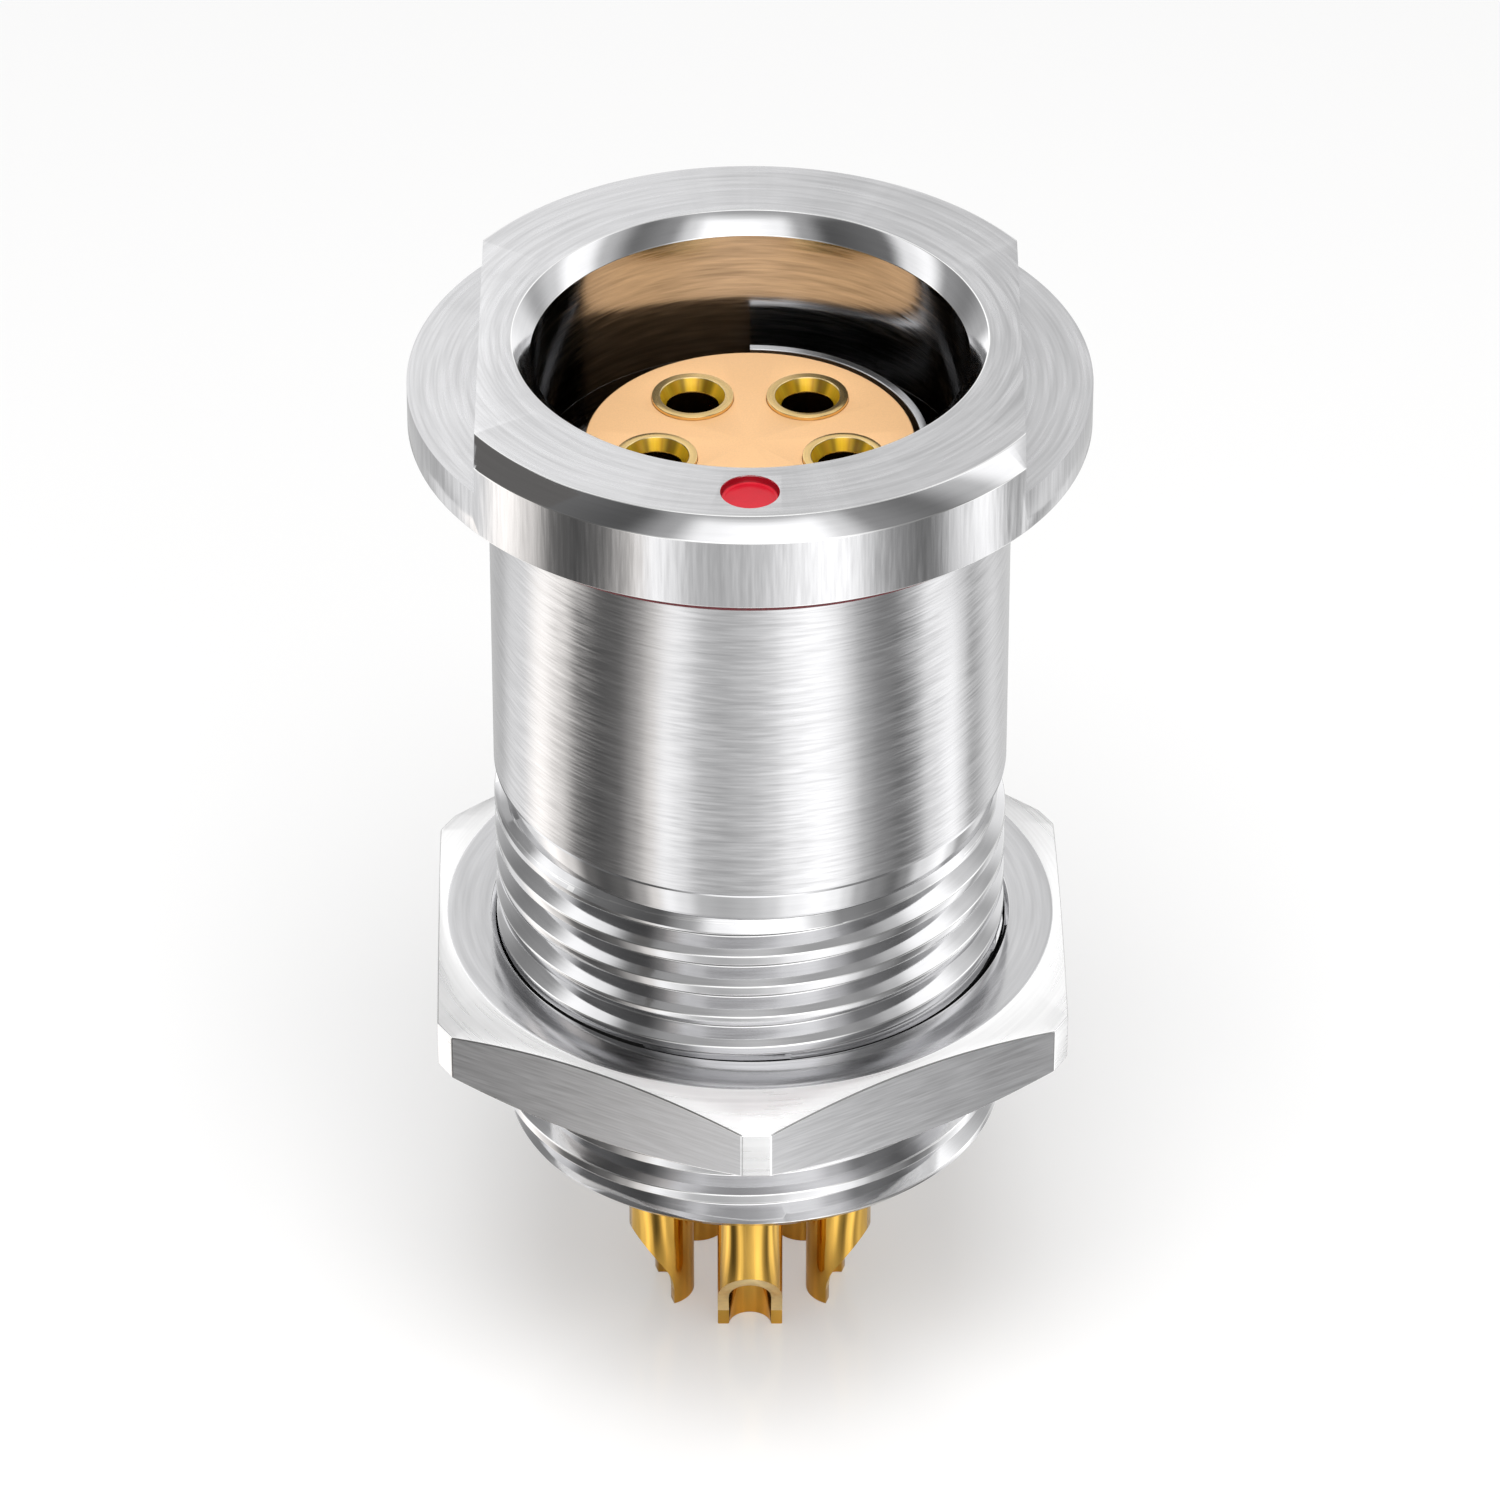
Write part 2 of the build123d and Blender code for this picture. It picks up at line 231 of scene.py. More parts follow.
class InsertSizes(PropertyGroup):
    """Sizes of the carrier, insulators, contacts and hoods"""

    carrier_flange: length("Carrier flange", "Thickness of the carrier's flange", 1.6)
    carrier_wall: length("Carrier wall", "Wall of the carrier's tail", 0.6)
    carrier_gap: length("Carrier gap", "Gap between the carrier and the insulators", 0.03)
    half_moon_wall: length("Half-moon wall", "Wall of the carrier's half-moon front", 0.24)
    half_moon_length: length("Half-moon length", "Length of the carrier's half-moon front", 5.1)
    collar_thickness: length("Collar thickness", "Thickness of the rear insulator's collar", 1.4)
    nose_step: length("Nose step", "How much thinner in radius the rear insulator's nose is", 0.22)
    ring_gap: length("Ring gap", "Gap between the retaining ring and the nose", 0.05)
    ring_slot_width: length("Ring slot width", "Width of the retaining ring's slots", 1.2)
    ring_slot_depth: length("Ring slot depth", "Depth of the retaining ring's slots", 0.8)
    hole_gap: length("Hole gap", "Gap between a hood and its hole", 0.015)
    pin_hole_radius: length("Pin hole radius", "Radius of the pin hole in a hood", 0.69)
    countersink_radius: length("Countersink radius", "Radius of a hood's countersink", 0.865)
    countersink_depth: length("Countersink depth", "Depth of a hood's countersink", 0.36)
    socket_radius: length("Socket radius", "Radius of a contact's socket", 0.68)
    socket_depth: length("Socket depth", "Depth of a contact's socket", 5.0)
    slot_width: length("Slot width", "Width of the slot that makes a socket springy", 0.22)
    slot_length: length("Slot length", "Length of a socket's slot", 4.0)
    tail_radius: length("Tail radius", "Radius of a contact's tail", 0.9)
    cup_radius: length("Cup radius", "Radius of the hole in a solder cup", 0.59)
    cup_depth: length("Cup depth", "Depth of a solder cup", 4.4)
    scoop_inside: length("Scoop inside", "How far the scoop passes the contact's own axis", 0.08)
    scoop_length: length("Scoop length", "Length of the scoop from the tip", 2.35)
    scoop_rounding: length("Scoop rounding", "Radius at the bend of the scoop", 0.42)
    scoop_slope: turn("Scoop slope", "Slope of the scoop's upper end", 56.0)
    edge: length("Edge break", "Rounding of the small edges", 0.03)


class Finishes(PropertyGroup):
    """Colours and polish of the surfaces"""

    steel: colour("Shell metal", "Colour of the satin plated metal", (0.66, 0.66, 0.67))
    nut_metal: colour("Nut metal", "Colour of the nut's metal", (0.62, 0.62, 0.63))
    # Bright rounded edges: edge wear and painted highlight
    worn: colour("Highlit worn edge", "Colour of the bright rounded edges of the metal", (0.82, 0.82, 0.82))
    gold: colour("Contact gold", "Colour of the solder cups and contacts", (0.82, 0.49, 0.1))
    hood_gold: colour("Hood gold", "Colour of the hoods' rims", (0.82, 0.58, 0.25))
    resin: colour("Insulator resin", "Colour of the insulators", (0.83, 0.505, 0.25))
    enamel: colour("Dot enamel", "Colour of the alignment dot", (0.55, 0.01, 0.024))
    gasket: colour("Gasket rubber", "Colour of the panel gasket", (0.16, 0.008, 0.014))
    satin: share("Satin roughness", "Roughness of the turned satin faces", 0.19)
    polish: share("Polished roughness", "Roughness of the polished chamfers", 0.09)
    thread_polish: share("Thread roughness", "Roughness of the thread", 0.085)


class StageSizes(PropertyGroup):
    """Camera, floor and lights"""

    elevation: turn("Elevation", "How far the camera looks down", 35.175)
    distance: length("Distance", "Distance from the camera to its aim point", 243.04)
    aim_height: length("Aim height", "Height of the camera's aim point on the axis", -10.237, lowest=-1.0)
    lens: FloatProperty(
        name="Lens",
        description="Focal length for a 36 mm sensor, in millimetres",
        default=216.3,
        min=1.0,
        unit="CAMERA",
    )
    floor_size: length("Floor size", "Side of the square floor", 4000.0)
    floor_colour: colour("Floor", "Colour of the pale floor", (0.98, 0.978, 0.975))
    floor_glow: share("Floor glow", "Share of plain white in what the camera sees of the floor", 0.34)
    card_share: share("Card share", "Share of the low cards in what reflections see of the floor", 0.93)
    even_light: share("Even light", "Brightness of the even light from all round", 0.44)
    overhead_power: power("Overhead power", "Power of the lamp overhead", 0.58)
    front_power: power("Front power", "Power of the fill lamp in front", 0.12)


# Meshes


def outline_wire(points, closed=True):
    """Wire in the XZ plane from (radius, height, rounding) corners, rounded by bevelling them."""
    wire = bmesh.new()
    corners = [wire.verts.new((radius, 0.0, height)) for radius, height, rounding in points]
    pairs = list(zip(corners, corners[1:]))
    if closed:
        pairs.append((corners[-1], corners[0]))
    for pair in pairs:
        wire.edges.new(pair)
    for rounding in sorted({point[2] for point in points if point[2] > 0.0}):
        bmesh.ops.bevel(
            wire,
            geom=[corner for corner, point in zip(corners, points) if point[2] == rounding],
            offset=rounding,
            offset_type="OFFSET",
            segments=3,
            profile=0.5,
            affect="VERTICES",
            material=-1,
        )
    return wire


def turn_wire(wire, steps, angle=2 * pi):
    """Spin a wire about the Z axis."""
    bmesh.ops.spin(
        wire,
        geom=wire.verts[:] + wire.edges[:],
        cent=(0.0, 0.0, 0.0),
        axis=(0.0, 0.0, 1.0),
        dvec=(0.0, 0.0, 0.0),
        angle=angle,
        steps=steps,
        use_merge=abs(angle - 2 * pi) < 1e-6,
    )
    return wire


def tidy(solid):
    """Merge doubles and point every face outwards."""
    bmesh.ops.remove_doubles(solid, verts=solid.verts[:], dist=1e-5)
    bmesh.ops.recalc_face_normals(solid, faces=solid.faces[:])
    return solid


def turned(points, steps=160, closed=True):
    """Solid of revolution about Z from (radius, height, rounding) corners."""
    return mark_narrow(tidy(turn_wire(outline_wire(points, closed), steps)))


def highlit_worn_layer(solid):
    """Face layer that marks the rounded edges."""
    layers = solid.faces.layers.int
    return layers.get("worn") or layers.new("worn")


def mark_narrow(solid, limit=EDGE_WIDTH):
    """Mark the narrow faces that round the turned edges."""
    layer = highlit_worn_layer(solid)
    for face in solid.faces:
        face[layer] = int(min(edge.calc_length() for edge in face.edges) < limit)
    return solid


def box_solid(low, high):
    """Plain closed box between two corners, used as a cutter."""
    solid = bmesh.new()
    bmesh.ops.create_cube(solid, size=1.0)
    low, high = Vector(low), Vector(high)
    bmesh.ops.scale(solid, vec=high - low, verts=solid.verts[:])
    bmesh.ops.translate(solid, vec=(low + high) / 2, verts=solid.verts[:])
    return solid


def rod_solid(centre, radius, low, high, steps=96):
    """Plain closed cylinder along Z, used as a cutter."""
    solid = bmesh.new()
    bmesh.ops.create_cone(
        solid,
        cap_ends=True,
        segments=steps,
        radius1=radius,
        radius2=radius,
        depth=high - low,
    )
    bmesh.ops.translate(solid, vec=(centre[0], centre[1], (low + high) / 2), verts=solid.verts[:])
    return solid


def joined(*solids):
    """One bmesh that holds several solids."""
    whole = bmesh.new()
    for solid in solids:
        part = bpy.data.meshes.new("part")
        solid.to_mesh(part)
        solid.free()
        whole.from_mesh(part)
        bpy.data.meshes.remove(part)
    return whole


def carved(solid, cutter):
    """Take a closed cutter out of a closed solid."""
    holders = []
    for source in (solid, cutter):
        mesh = bpy.data.meshes.new("carve")
        source.to_mesh(mesh)
        source.free()
        holder = bpy.data.objects.new("carve", mesh)
        bpy.context.scene.collection.objects.link(holder)
        holders.append(holder)
    cut = holders[0].modifiers.new("Cut", "BOOLEAN")
    cut.operation = "DIFFERENCE"
    cut.solver = "EXACT"
    cut.object = holders[1]
    evaluated = holders[0].evaluated_get(bpy.context.evaluated_depsgraph_get())
    result = bmesh.new()
    result.from_mesh(evaluated.to_mesh())
    evaluated.to_mesh_clear()
    for holder in holders:
        mesh = holder.data
        bpy.data.objects.remove(holder)
        bpy.data.meshes.remove(mesh)
    return result


def break_edges(solid, offset, wanted=None, limit=35.0, segments=2):
    """Round the edges that are sharper than the limit, in degrees."""
    sharp = [
        edge
        for edge in solid.edges
        if edge.is_manifold
        and edge.calc_face_angle() > radians(limit)
        and (wanted is None or wanted(edge))
    ]
    rounded = bmesh.ops.bevel(
        solid,
        geom=sharp,
        offset=offset,
        offset_type="OFFSET",
        segments=segments,
        profile=0.5,
        affect="EDGES",
        material=-1,
        clamp_overlap=True,
    )
    layer = highlit_worn_layer(solid)
    for face in rounded["faces"]:
        face[layer] = 1
    return solid


def cut_plane(solid, place, normal, **cleared):
    """Cut a solid's faces along a plane, and clear one side where told."""
    return bmesh.ops.bisect_plane(
        solid,
        geom=solid.verts[:] + solid.edges[:] + solid.faces[:],
        dist=1e-5,
        plane_co=place,
        plane_no=normal,
        **cleared,
    )


def spot(thing):
    """Radius and height of a face's or an edge's middle."""
    if isinstance(thing, bmesh.types.BMEdge):
        middle = (thing.verts[0].co + thing.verts[1].co) / 2
    else:
        middle = thing.calc_center_median()
    return hypot(middle.x, middle.y), middle.z


def thread_sleeve(sizes, top, bottom, core, steps=192):
    """Sleeve with the outer thread's helical ridges, closed over a plain core radius."""
    pitch = mm(sizes.pitch)
    crest_radius = mm(sizes.barrel_radius)
    root_radius = crest_radius - mm(sizes.thread_depth)
    crest = mm(sizes.crest_flat)
    root = mm(sizes.root_flat)
    flank = (pitch - crest - root) / 2
    # The outline starts behind, half a turn above the dot's side, at a crest's lower edge
    turns = int((top - bottom) / pitch) + 3
    start = pitch / 2 - mm(sizes.crest_phase) - pitch * (turns - 1)
    corners = []
    for number in range(turns + 1):
        height = start + number * pitch
        corners += [
            (crest_radius, height, 0.03),
            (crest_radius, height + crest, 0.03),
            (root_radius, height + crest + flank, 0.02),
            (root_radius, height + crest + flank + root, 0.02),
        ]
    skin = outline_wire(corners, closed=False)
    bmesh.ops.rotate(skin, cent=(0, 0, 0), matrix=Matrix.Rotation(pi / 2, 3, "Z"), verts=skin.verts[:])
    bmesh.ops.spin(
        skin,
        geom=skin.verts[:] + skin.edges[:],
        cent=(0.0, 0.0, 0.0),
        axis=(0.0, 0.0, 1.0),
        dvec=(0.0, 0.0, pitch / steps),
        angle=2 * pi,
        steps=steps,
    )
    # Merge each turn with the one below it
    bmesh.ops.remove_doubles(skin, verts=skin.verts[:], dist=0.003)
    start_radius = mm(sizes.relief_radius)
    end_chamfer = mm(sizes.end_chamfer)
    run_in = crest_radius - start_radius
    upwards = (0.0, 0.0, 1.0)
    levels = [top - run_in * third / 3 for third in range(1, 4)]
    levels += [bottom + end_chamfer * third / 3 for third in range(1, 4)]
    for height in levels:
        cut_plane(skin, (0.0, 0.0, height), upwards)
    cut_plane(skin, (0.0, 0.0, top), upwards, clear_outer=True)
    cut_plane(skin, (0.0, 0.0, bottom), upwards, clear_inner=True)
    # Chamfers at both ends, grooves that start level with the relief and that the nut's own thread fills
    for vert in skin.verts:
        away = top - vert.co.z
        highest = min(start_radius + away, crest_radius - end_chamfer + vert.co.z - bottom)
        lowest = start_radius - away
        radius = hypot(vert.co.x, vert.co.y)
        within = min(NUT_HIGH.z - vert.co.z, vert.co.z - NUT_LOW.z) / NUT_RUN_OUT + 1.0
        radius += (crest_radius - radius) * min(max(within, 0.0), 1.0)
        set_radius(vert, max(min(radius, highest), lowest))
    # End faces drawn in to the core, and the hidden wall between them
    rims = []
    for height in (top, bottom):
        grown = bmesh.ops.extrude_edge_only(skin, edges=boundary(skin, height))
        for part in grown["geom"]:
            if isinstance(part, bmesh.types.BMVert):
                set_radius(part, core)
        rims += boundary(skin, height)
    bmesh.ops.bridge_loops(skin, edges=rims)
    return mark_narrow(tidy(skin), THREAD_EDGE_WIDTH)


def set_radius(vert, radius):
    """Move a vertex level to a distance from the axis."""
    factor = radius / hypot(vert.co.x, vert.co.y)
    vert.co.x *= factor
    vert.co.y *= factor


def boundary(solid, height, within=0.02):
    """Open edges that lie at one height."""
    return [
        edge
        for edge in solid.edges
        if edge.is_boundary and all(abs(vert.co.z - height) < within for vert in edge.verts)
    ]


def piece(name, solid, materials, choose=None, edges=None):
    """Make the finished object: metres, material of each face, smooth with even normals."""
    if choose:
        for face in solid.faces:
            face.material_index = choose(face)
    # The rounded edges take the brighter edge material: wear and painted highlight
    if edges:
        materials = [*materials, edges]
        layer = highlit_worn_layer(solid)
        for face in solid.faces:
            if face[layer]:
                face.material_index = len(materials) - 1
        solid.faces.layers.int.remove(layer)
    for face in solid.faces:
        face.smooth = True
    bmesh.ops.scale(solid, vec=(MM, MM, MM), verts=solid.verts[:])
    mesh = bpy.data.meshes.new(name)
    solid.to_mesh(mesh)
    solid.free()
    for material in materials:
        mesh.materials.append(material)
    made = bpy.data.objects.new(name, mesh)
    bpy.context.scene.collection.objects.link(made)
    mesh.set_sharp_from_angle(angle=radians(40.0))
    even = made.modifiers.new("Even normals", "WEIGHTED_NORMAL")
    even.keep_sharp = True
    even.weight = 100
    return made


def settle(made, body, nodes):
    """Hand a finished piece to its body, in place of its nodes."""
    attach(made, body)
    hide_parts(*nodes)


# Materials


def set_inputs(tree, node, inputs):
    """Set a node's inputs, by name or number, to numbers or colours, or link sockets to them."""
    for label, value in dict(inputs).items():
        if isinstance(value, bpy.types.NodeSocket):
            tree.links.new(value, node.inputs[label])
        else:
            node.inputs[label].default_value = value
    return node


def add_node(tree, kind, inputs=(), **settings):
    """New shader node with its settings and its inputs."""
    node = tree.nodes.new(f"ShaderNode{kind}")
    for setting, value in settings.items():
        setattr(node, setting, value)
    return set_inputs(tree, node, inputs)


def calculate(tree, operation, *values):
    """Math node whose inputs are sockets or numbers."""
    return add_node(tree, "Math", enumerate(values), operation=operation).outputs[0]


def combined(tree, *values):
    """Vector of two or three values."""
    return add_node(tree, "CombineXYZ", enumerate(values)).outputs[0]


def scaled(tree, vector, factors):
    """Vector whose three parts are each multiplied."""
    return add_node(tree, "VectorMath", {0: vector, 1: factors}, operation="MULTIPLY").outputs[0]


def ramp(tree, value, across, between, interpolation="SMOOTHSTEP"):
    """Map one range of a value to another, with a smooth step unless told otherwise."""
    labels = ("From Min", "From Max", "To Min", "To Max")
    inputs = {"Value": value, **dict(zip(labels, (*across, *between)))}
    return add_node(tree, "MapRange", inputs, interpolation_type=interpolation).outputs["Result"]


def spread(tree, mask, low, high):
    """Map a mask's useful middle range to two values."""
    return ramp(tree, mask, MASK_RANGE, (low, high), "LINEAR")


def blended(tree, part, first, second, blend_type="MIX"):
    """Second colour laid over the first one in part, or multiplied with it."""
    inputs = {0: part, 6: first, 7: second}
    return add_node(tree, "Mix", inputs, data_type="RGBA", blend_type=blend_type).outputs[2]


def new_group(name, inputs, outputs):
    """Empty shader group with float inputs and outputs."""
    group = bpy.data.node_groups.new(name, "ShaderNodeTree")
    for label, value in inputs:
        socket = group.interface.new_socket(name=label, in_out="INPUT", socket_type="NodeSocketFloat")
        socket.default_value = value
    for label in outputs:
        group.interface.new_socket(name=label, in_out="OUTPUT", socket_type="NodeSocketFloat")
    return group, group.nodes.new("NodeGroupInput"), group.nodes.new("NodeGroupOutput")


def keep_place(solid):
    """Store where each vertex lies about the piece's own axis, in metres, for its marks."""
    layer = solid.verts.layers.float_vector.new(OWN_PLACE)
    for vert in solid.verts:
        vert[layer] = vert.co * MM


def new_marks(name, inputs, outputs, own_axis=False):
    """Group for one kind of marks, with its clouds made, and the place on the piece in millimetres."""
    group, entry, leave = new_group(name, inputs, outputs)
    if own_axis:
        place = add_node(group, "Attribute", attribute_name=OWN_PLACE).outputs["Vector"]
    else:
        place = add_node(group, "TexCoord").outputs["Object"]
    place = scaled(group, place, (1 / MM, 1 / MM, 1 / MM))
    clouds = {"Vector": place, "Scale": entry.outputs["Clouds"], "Detail": 2.0}
    set_inputs(group, leave, {"Clouds": add_node(group, "TexNoise", clouds).outputs["Fac"]})
    return group, entry.outputs, leave, add_node(group, "SeparateXYZ", {0: place}).outputs


def turning_marks(own_axis=False):
    """Fine rings that a lathe leaves: noise drawn out along the circles about an axis."""
    name = "Own turning marks" if own_axis else "Turning marks"
    if name in bpy.data.node_groups:
        return bpy.data.node_groups[name]
    inputs = [("Lines per mm", 14.0), ("Breaks", 5.0), ("Clouds", 0.5)]
    outputs = ["Lines", "Clouds", "Painted fans and side light", "Sides"]
    group, entry, leave, (x, y, z) = new_marks(name, inputs, outputs, own_axis)
    lines, breaks = entry["Lines per mm"], entry["Breaks"]
    square = calculate(group, "ADD", calculate(group, "MULTIPLY", x, x), calculate(group, "MULTIPLY", y, y))
    radius = calculate(group, "SQRT", calculate(group, "MAXIMUM", square, 1e-4))
    sideways = calculate(group, "DIVIDE", x, radius)
    endways = calculate(group, "DIVIDE", y, radius)
    rings = combined(
        group,
        calculate(group, "MULTIPLY", sideways, breaks),
        calculate(group, "MULTIPLY", endways, breaks),
        calculate(group, "MULTIPLY", radius, lines),
    )
    upwards = calculate(group, "MULTIPLY", z, lines)
    fine = {"Vector": rings, "W": upwards, **LINE_NOISE}
    noise = add_node(group, "TexNoise", fine, noise_dimensions="4D")
    # Brightness varying at random round the axis stands in for the highlight fans of faced metal: painted
    # sheen
    around = {"Vector": combined(group, sideways, endways), "Scale": 2.6, "Detail": 5.0, "Roughness": 0.6}
    painted_fans = add_node(group, "TexNoise", around).outputs["Fac"]
    # Painted light: the tone is lighter towards -X and darker towards +X
    painted_side_light = ramp(group, sideways, (-0.65, 0.65), (0.27, -0.27))
    set_inputs(group, leave, {
        "Lines": noise.outputs["Fac"],
        "Painted fans and side light": calculate(group, "ADD", painted_fans, painted_side_light),
        "Sides": calculate(group, "ABSOLUTE", sideways),
    })
    return group


def grain_marks():
    """Straight brushing along the level directions, or even grain where both counts are alike."""
    name = "Grain marks"
    if name in bpy.data.node_groups:
        return bpy.data.node_groups[name]
    inputs = [("Along per mm", 1.2), ("Across per mm", 16.0), ("Clouds", 0.5)]
    group, entry, leave, (x, y, z) = new_marks(name, inputs, ["Lines", "Clouds"])
    along = entry["Along per mm"]
    grain = combined(
        group,
        calculate(group, "MULTIPLY", x, along),
        calculate(group, "MULTIPLY", y, along),
        calculate(group, "MULTIPLY", z, entry["Across per mm"]),
    )
    noise = add_node(group, "TexNoise", {"Vector": grain, **LINE_NOISE})
    set_inputs(group, leave, {"Lines": noise.outputs["Fac"]})
    return group


def new_material(name, inputs=()):
    """Material with its node tree and its Principled shader."""
    material = bpy.data.materials.new(name)
    material.use_nodes = True
    tree = material.node_tree
    return material, tree, set_inputs(tree, tree.nodes["Principled BSDF"], inputs)


def dimmed(base, factor):
    """A colour at a share of its brightness."""
    return [channel * factor for channel in base]


def finish(name, base, roughness, marks=None, metallic=1.0, counts=(14.0, 5.0, 0.5), shade=0.08,
           uneven=0.06, depth=0.0012, anisotropy=0.0, painted_fans=0.0, side_shade_range=None, painted_highlights=None,
           specular=0.5):
    """Principled material whose colour, roughness and relief follow a mark group, turning marks if none."""
    if name in bpy.data.materials:
        return bpy.data.materials[name]
    material, tree, shader = new_material(name)
    pattern = add_node(tree, "Group", node_tree=marks or turning_marks())
    set_inputs(tree, pattern, enumerate(counts))
    lines = pattern.outputs["Lines"]
    darker = (*dimmed(base, 1.0 - shade), 1.0)
    lighter = (*(min(channel, 1.0) for channel in dimmed(base, 1.0 + shade)), 1.0)
    fade = spread(tree, lines, 0.0, 1.0 - painted_fans)
    if painted_fans:
        fade = calculate(tree, "ADD", fade, spread(tree, pattern.outputs["Painted fans and side light"], 0.0, painted_fans))
    colour_out = blended(tree, fade, darker, lighter)
    # Painted shade: the colour falls to 0.28 of itself towards the sides, where |x| is large against the
    # radius
    if side_shade_range:
        side_shade = ramp(tree, pattern.outputs["Sides"], side_shade_range, (1.0, 0.28))
        colour_out = blended(tree, 1.0, colour_out, side_shade, "MULTIPLY")
    # Painted highlights and shade by azimuth round the piece's own axis
    if painted_highlights:
        place = add_node(tree, "Attribute", attribute_name=OWN_PLACE).outputs["Vector"]
        colour_out = blended(tree, 1.0, colour_out, card_ring(tree, place, painted_highlights), "MULTIPLY")
    fine = spread(tree, lines, -uneven, uneven)
    broad = spread(tree, pattern.outputs["Clouds"], roughness - uneven / 2, roughness + uneven / 2)
    relief = add_node(tree, "Bump", {"Strength": 1.0, "Distance": depth * MM, "Height": lines})
    set_inputs(tree, shader, {
        "Base Color": colour_out,
        "Roughness": calculate(tree, "ADD", fine, broad),
        "Normal": relief.outputs["Normal"],
        "Metallic": metallic,
        "Anisotropic": anisotropy,
        "Anisotropic Rotation": 0.25,
        "Specular IOR Level": specular,
    })
    return material


def highlit_worn_edge(looks):
    """Bright rounded edges of the shell and the nut: edge wear and painted highlight."""
    return finish("Highlit worn edge", looks.worn, 0.1, counts=(8.0, 3.0, 0.35), shade=0.05, uneven=0.03,
                  depth=0.0002)


def painted_shade_thread():
    """Nearly black painted shade, for the thread that is hidden in the nut and for the nut's bore."""
    return finish("Thread in painted shade", (0.012, 0.012, 0.012), 0.6, metallic=0.0, counts=(8.0, 3.0, 0.35),
                  shade=0.1, uneven=0.05, depth=0.0004, specular=0.1)


def carrier_metal(looks):
    """Turned metal of the carrier and the retaining ring."""
    return finish("Carrier metal", looks.steel, 0.2, anisotropy=0.3, counts=(12.0, 3.0, 0.4),
                  shade=0.06, uneven=0.04, depth=0.001)


def painted_shade_metal(looks):
    """Dull metal at 0.12 of its colour: painted shade far down in the mouth, on the shoulder and on the
    carrier.
    """
    return finish("Metal in painted shade", dimmed(looks.steel, 0.12), 0.5, counts=(8.0, 4.0, 0.35),
                  shade=0.12, uneven=0.05, depth=0.0012)


# Operators


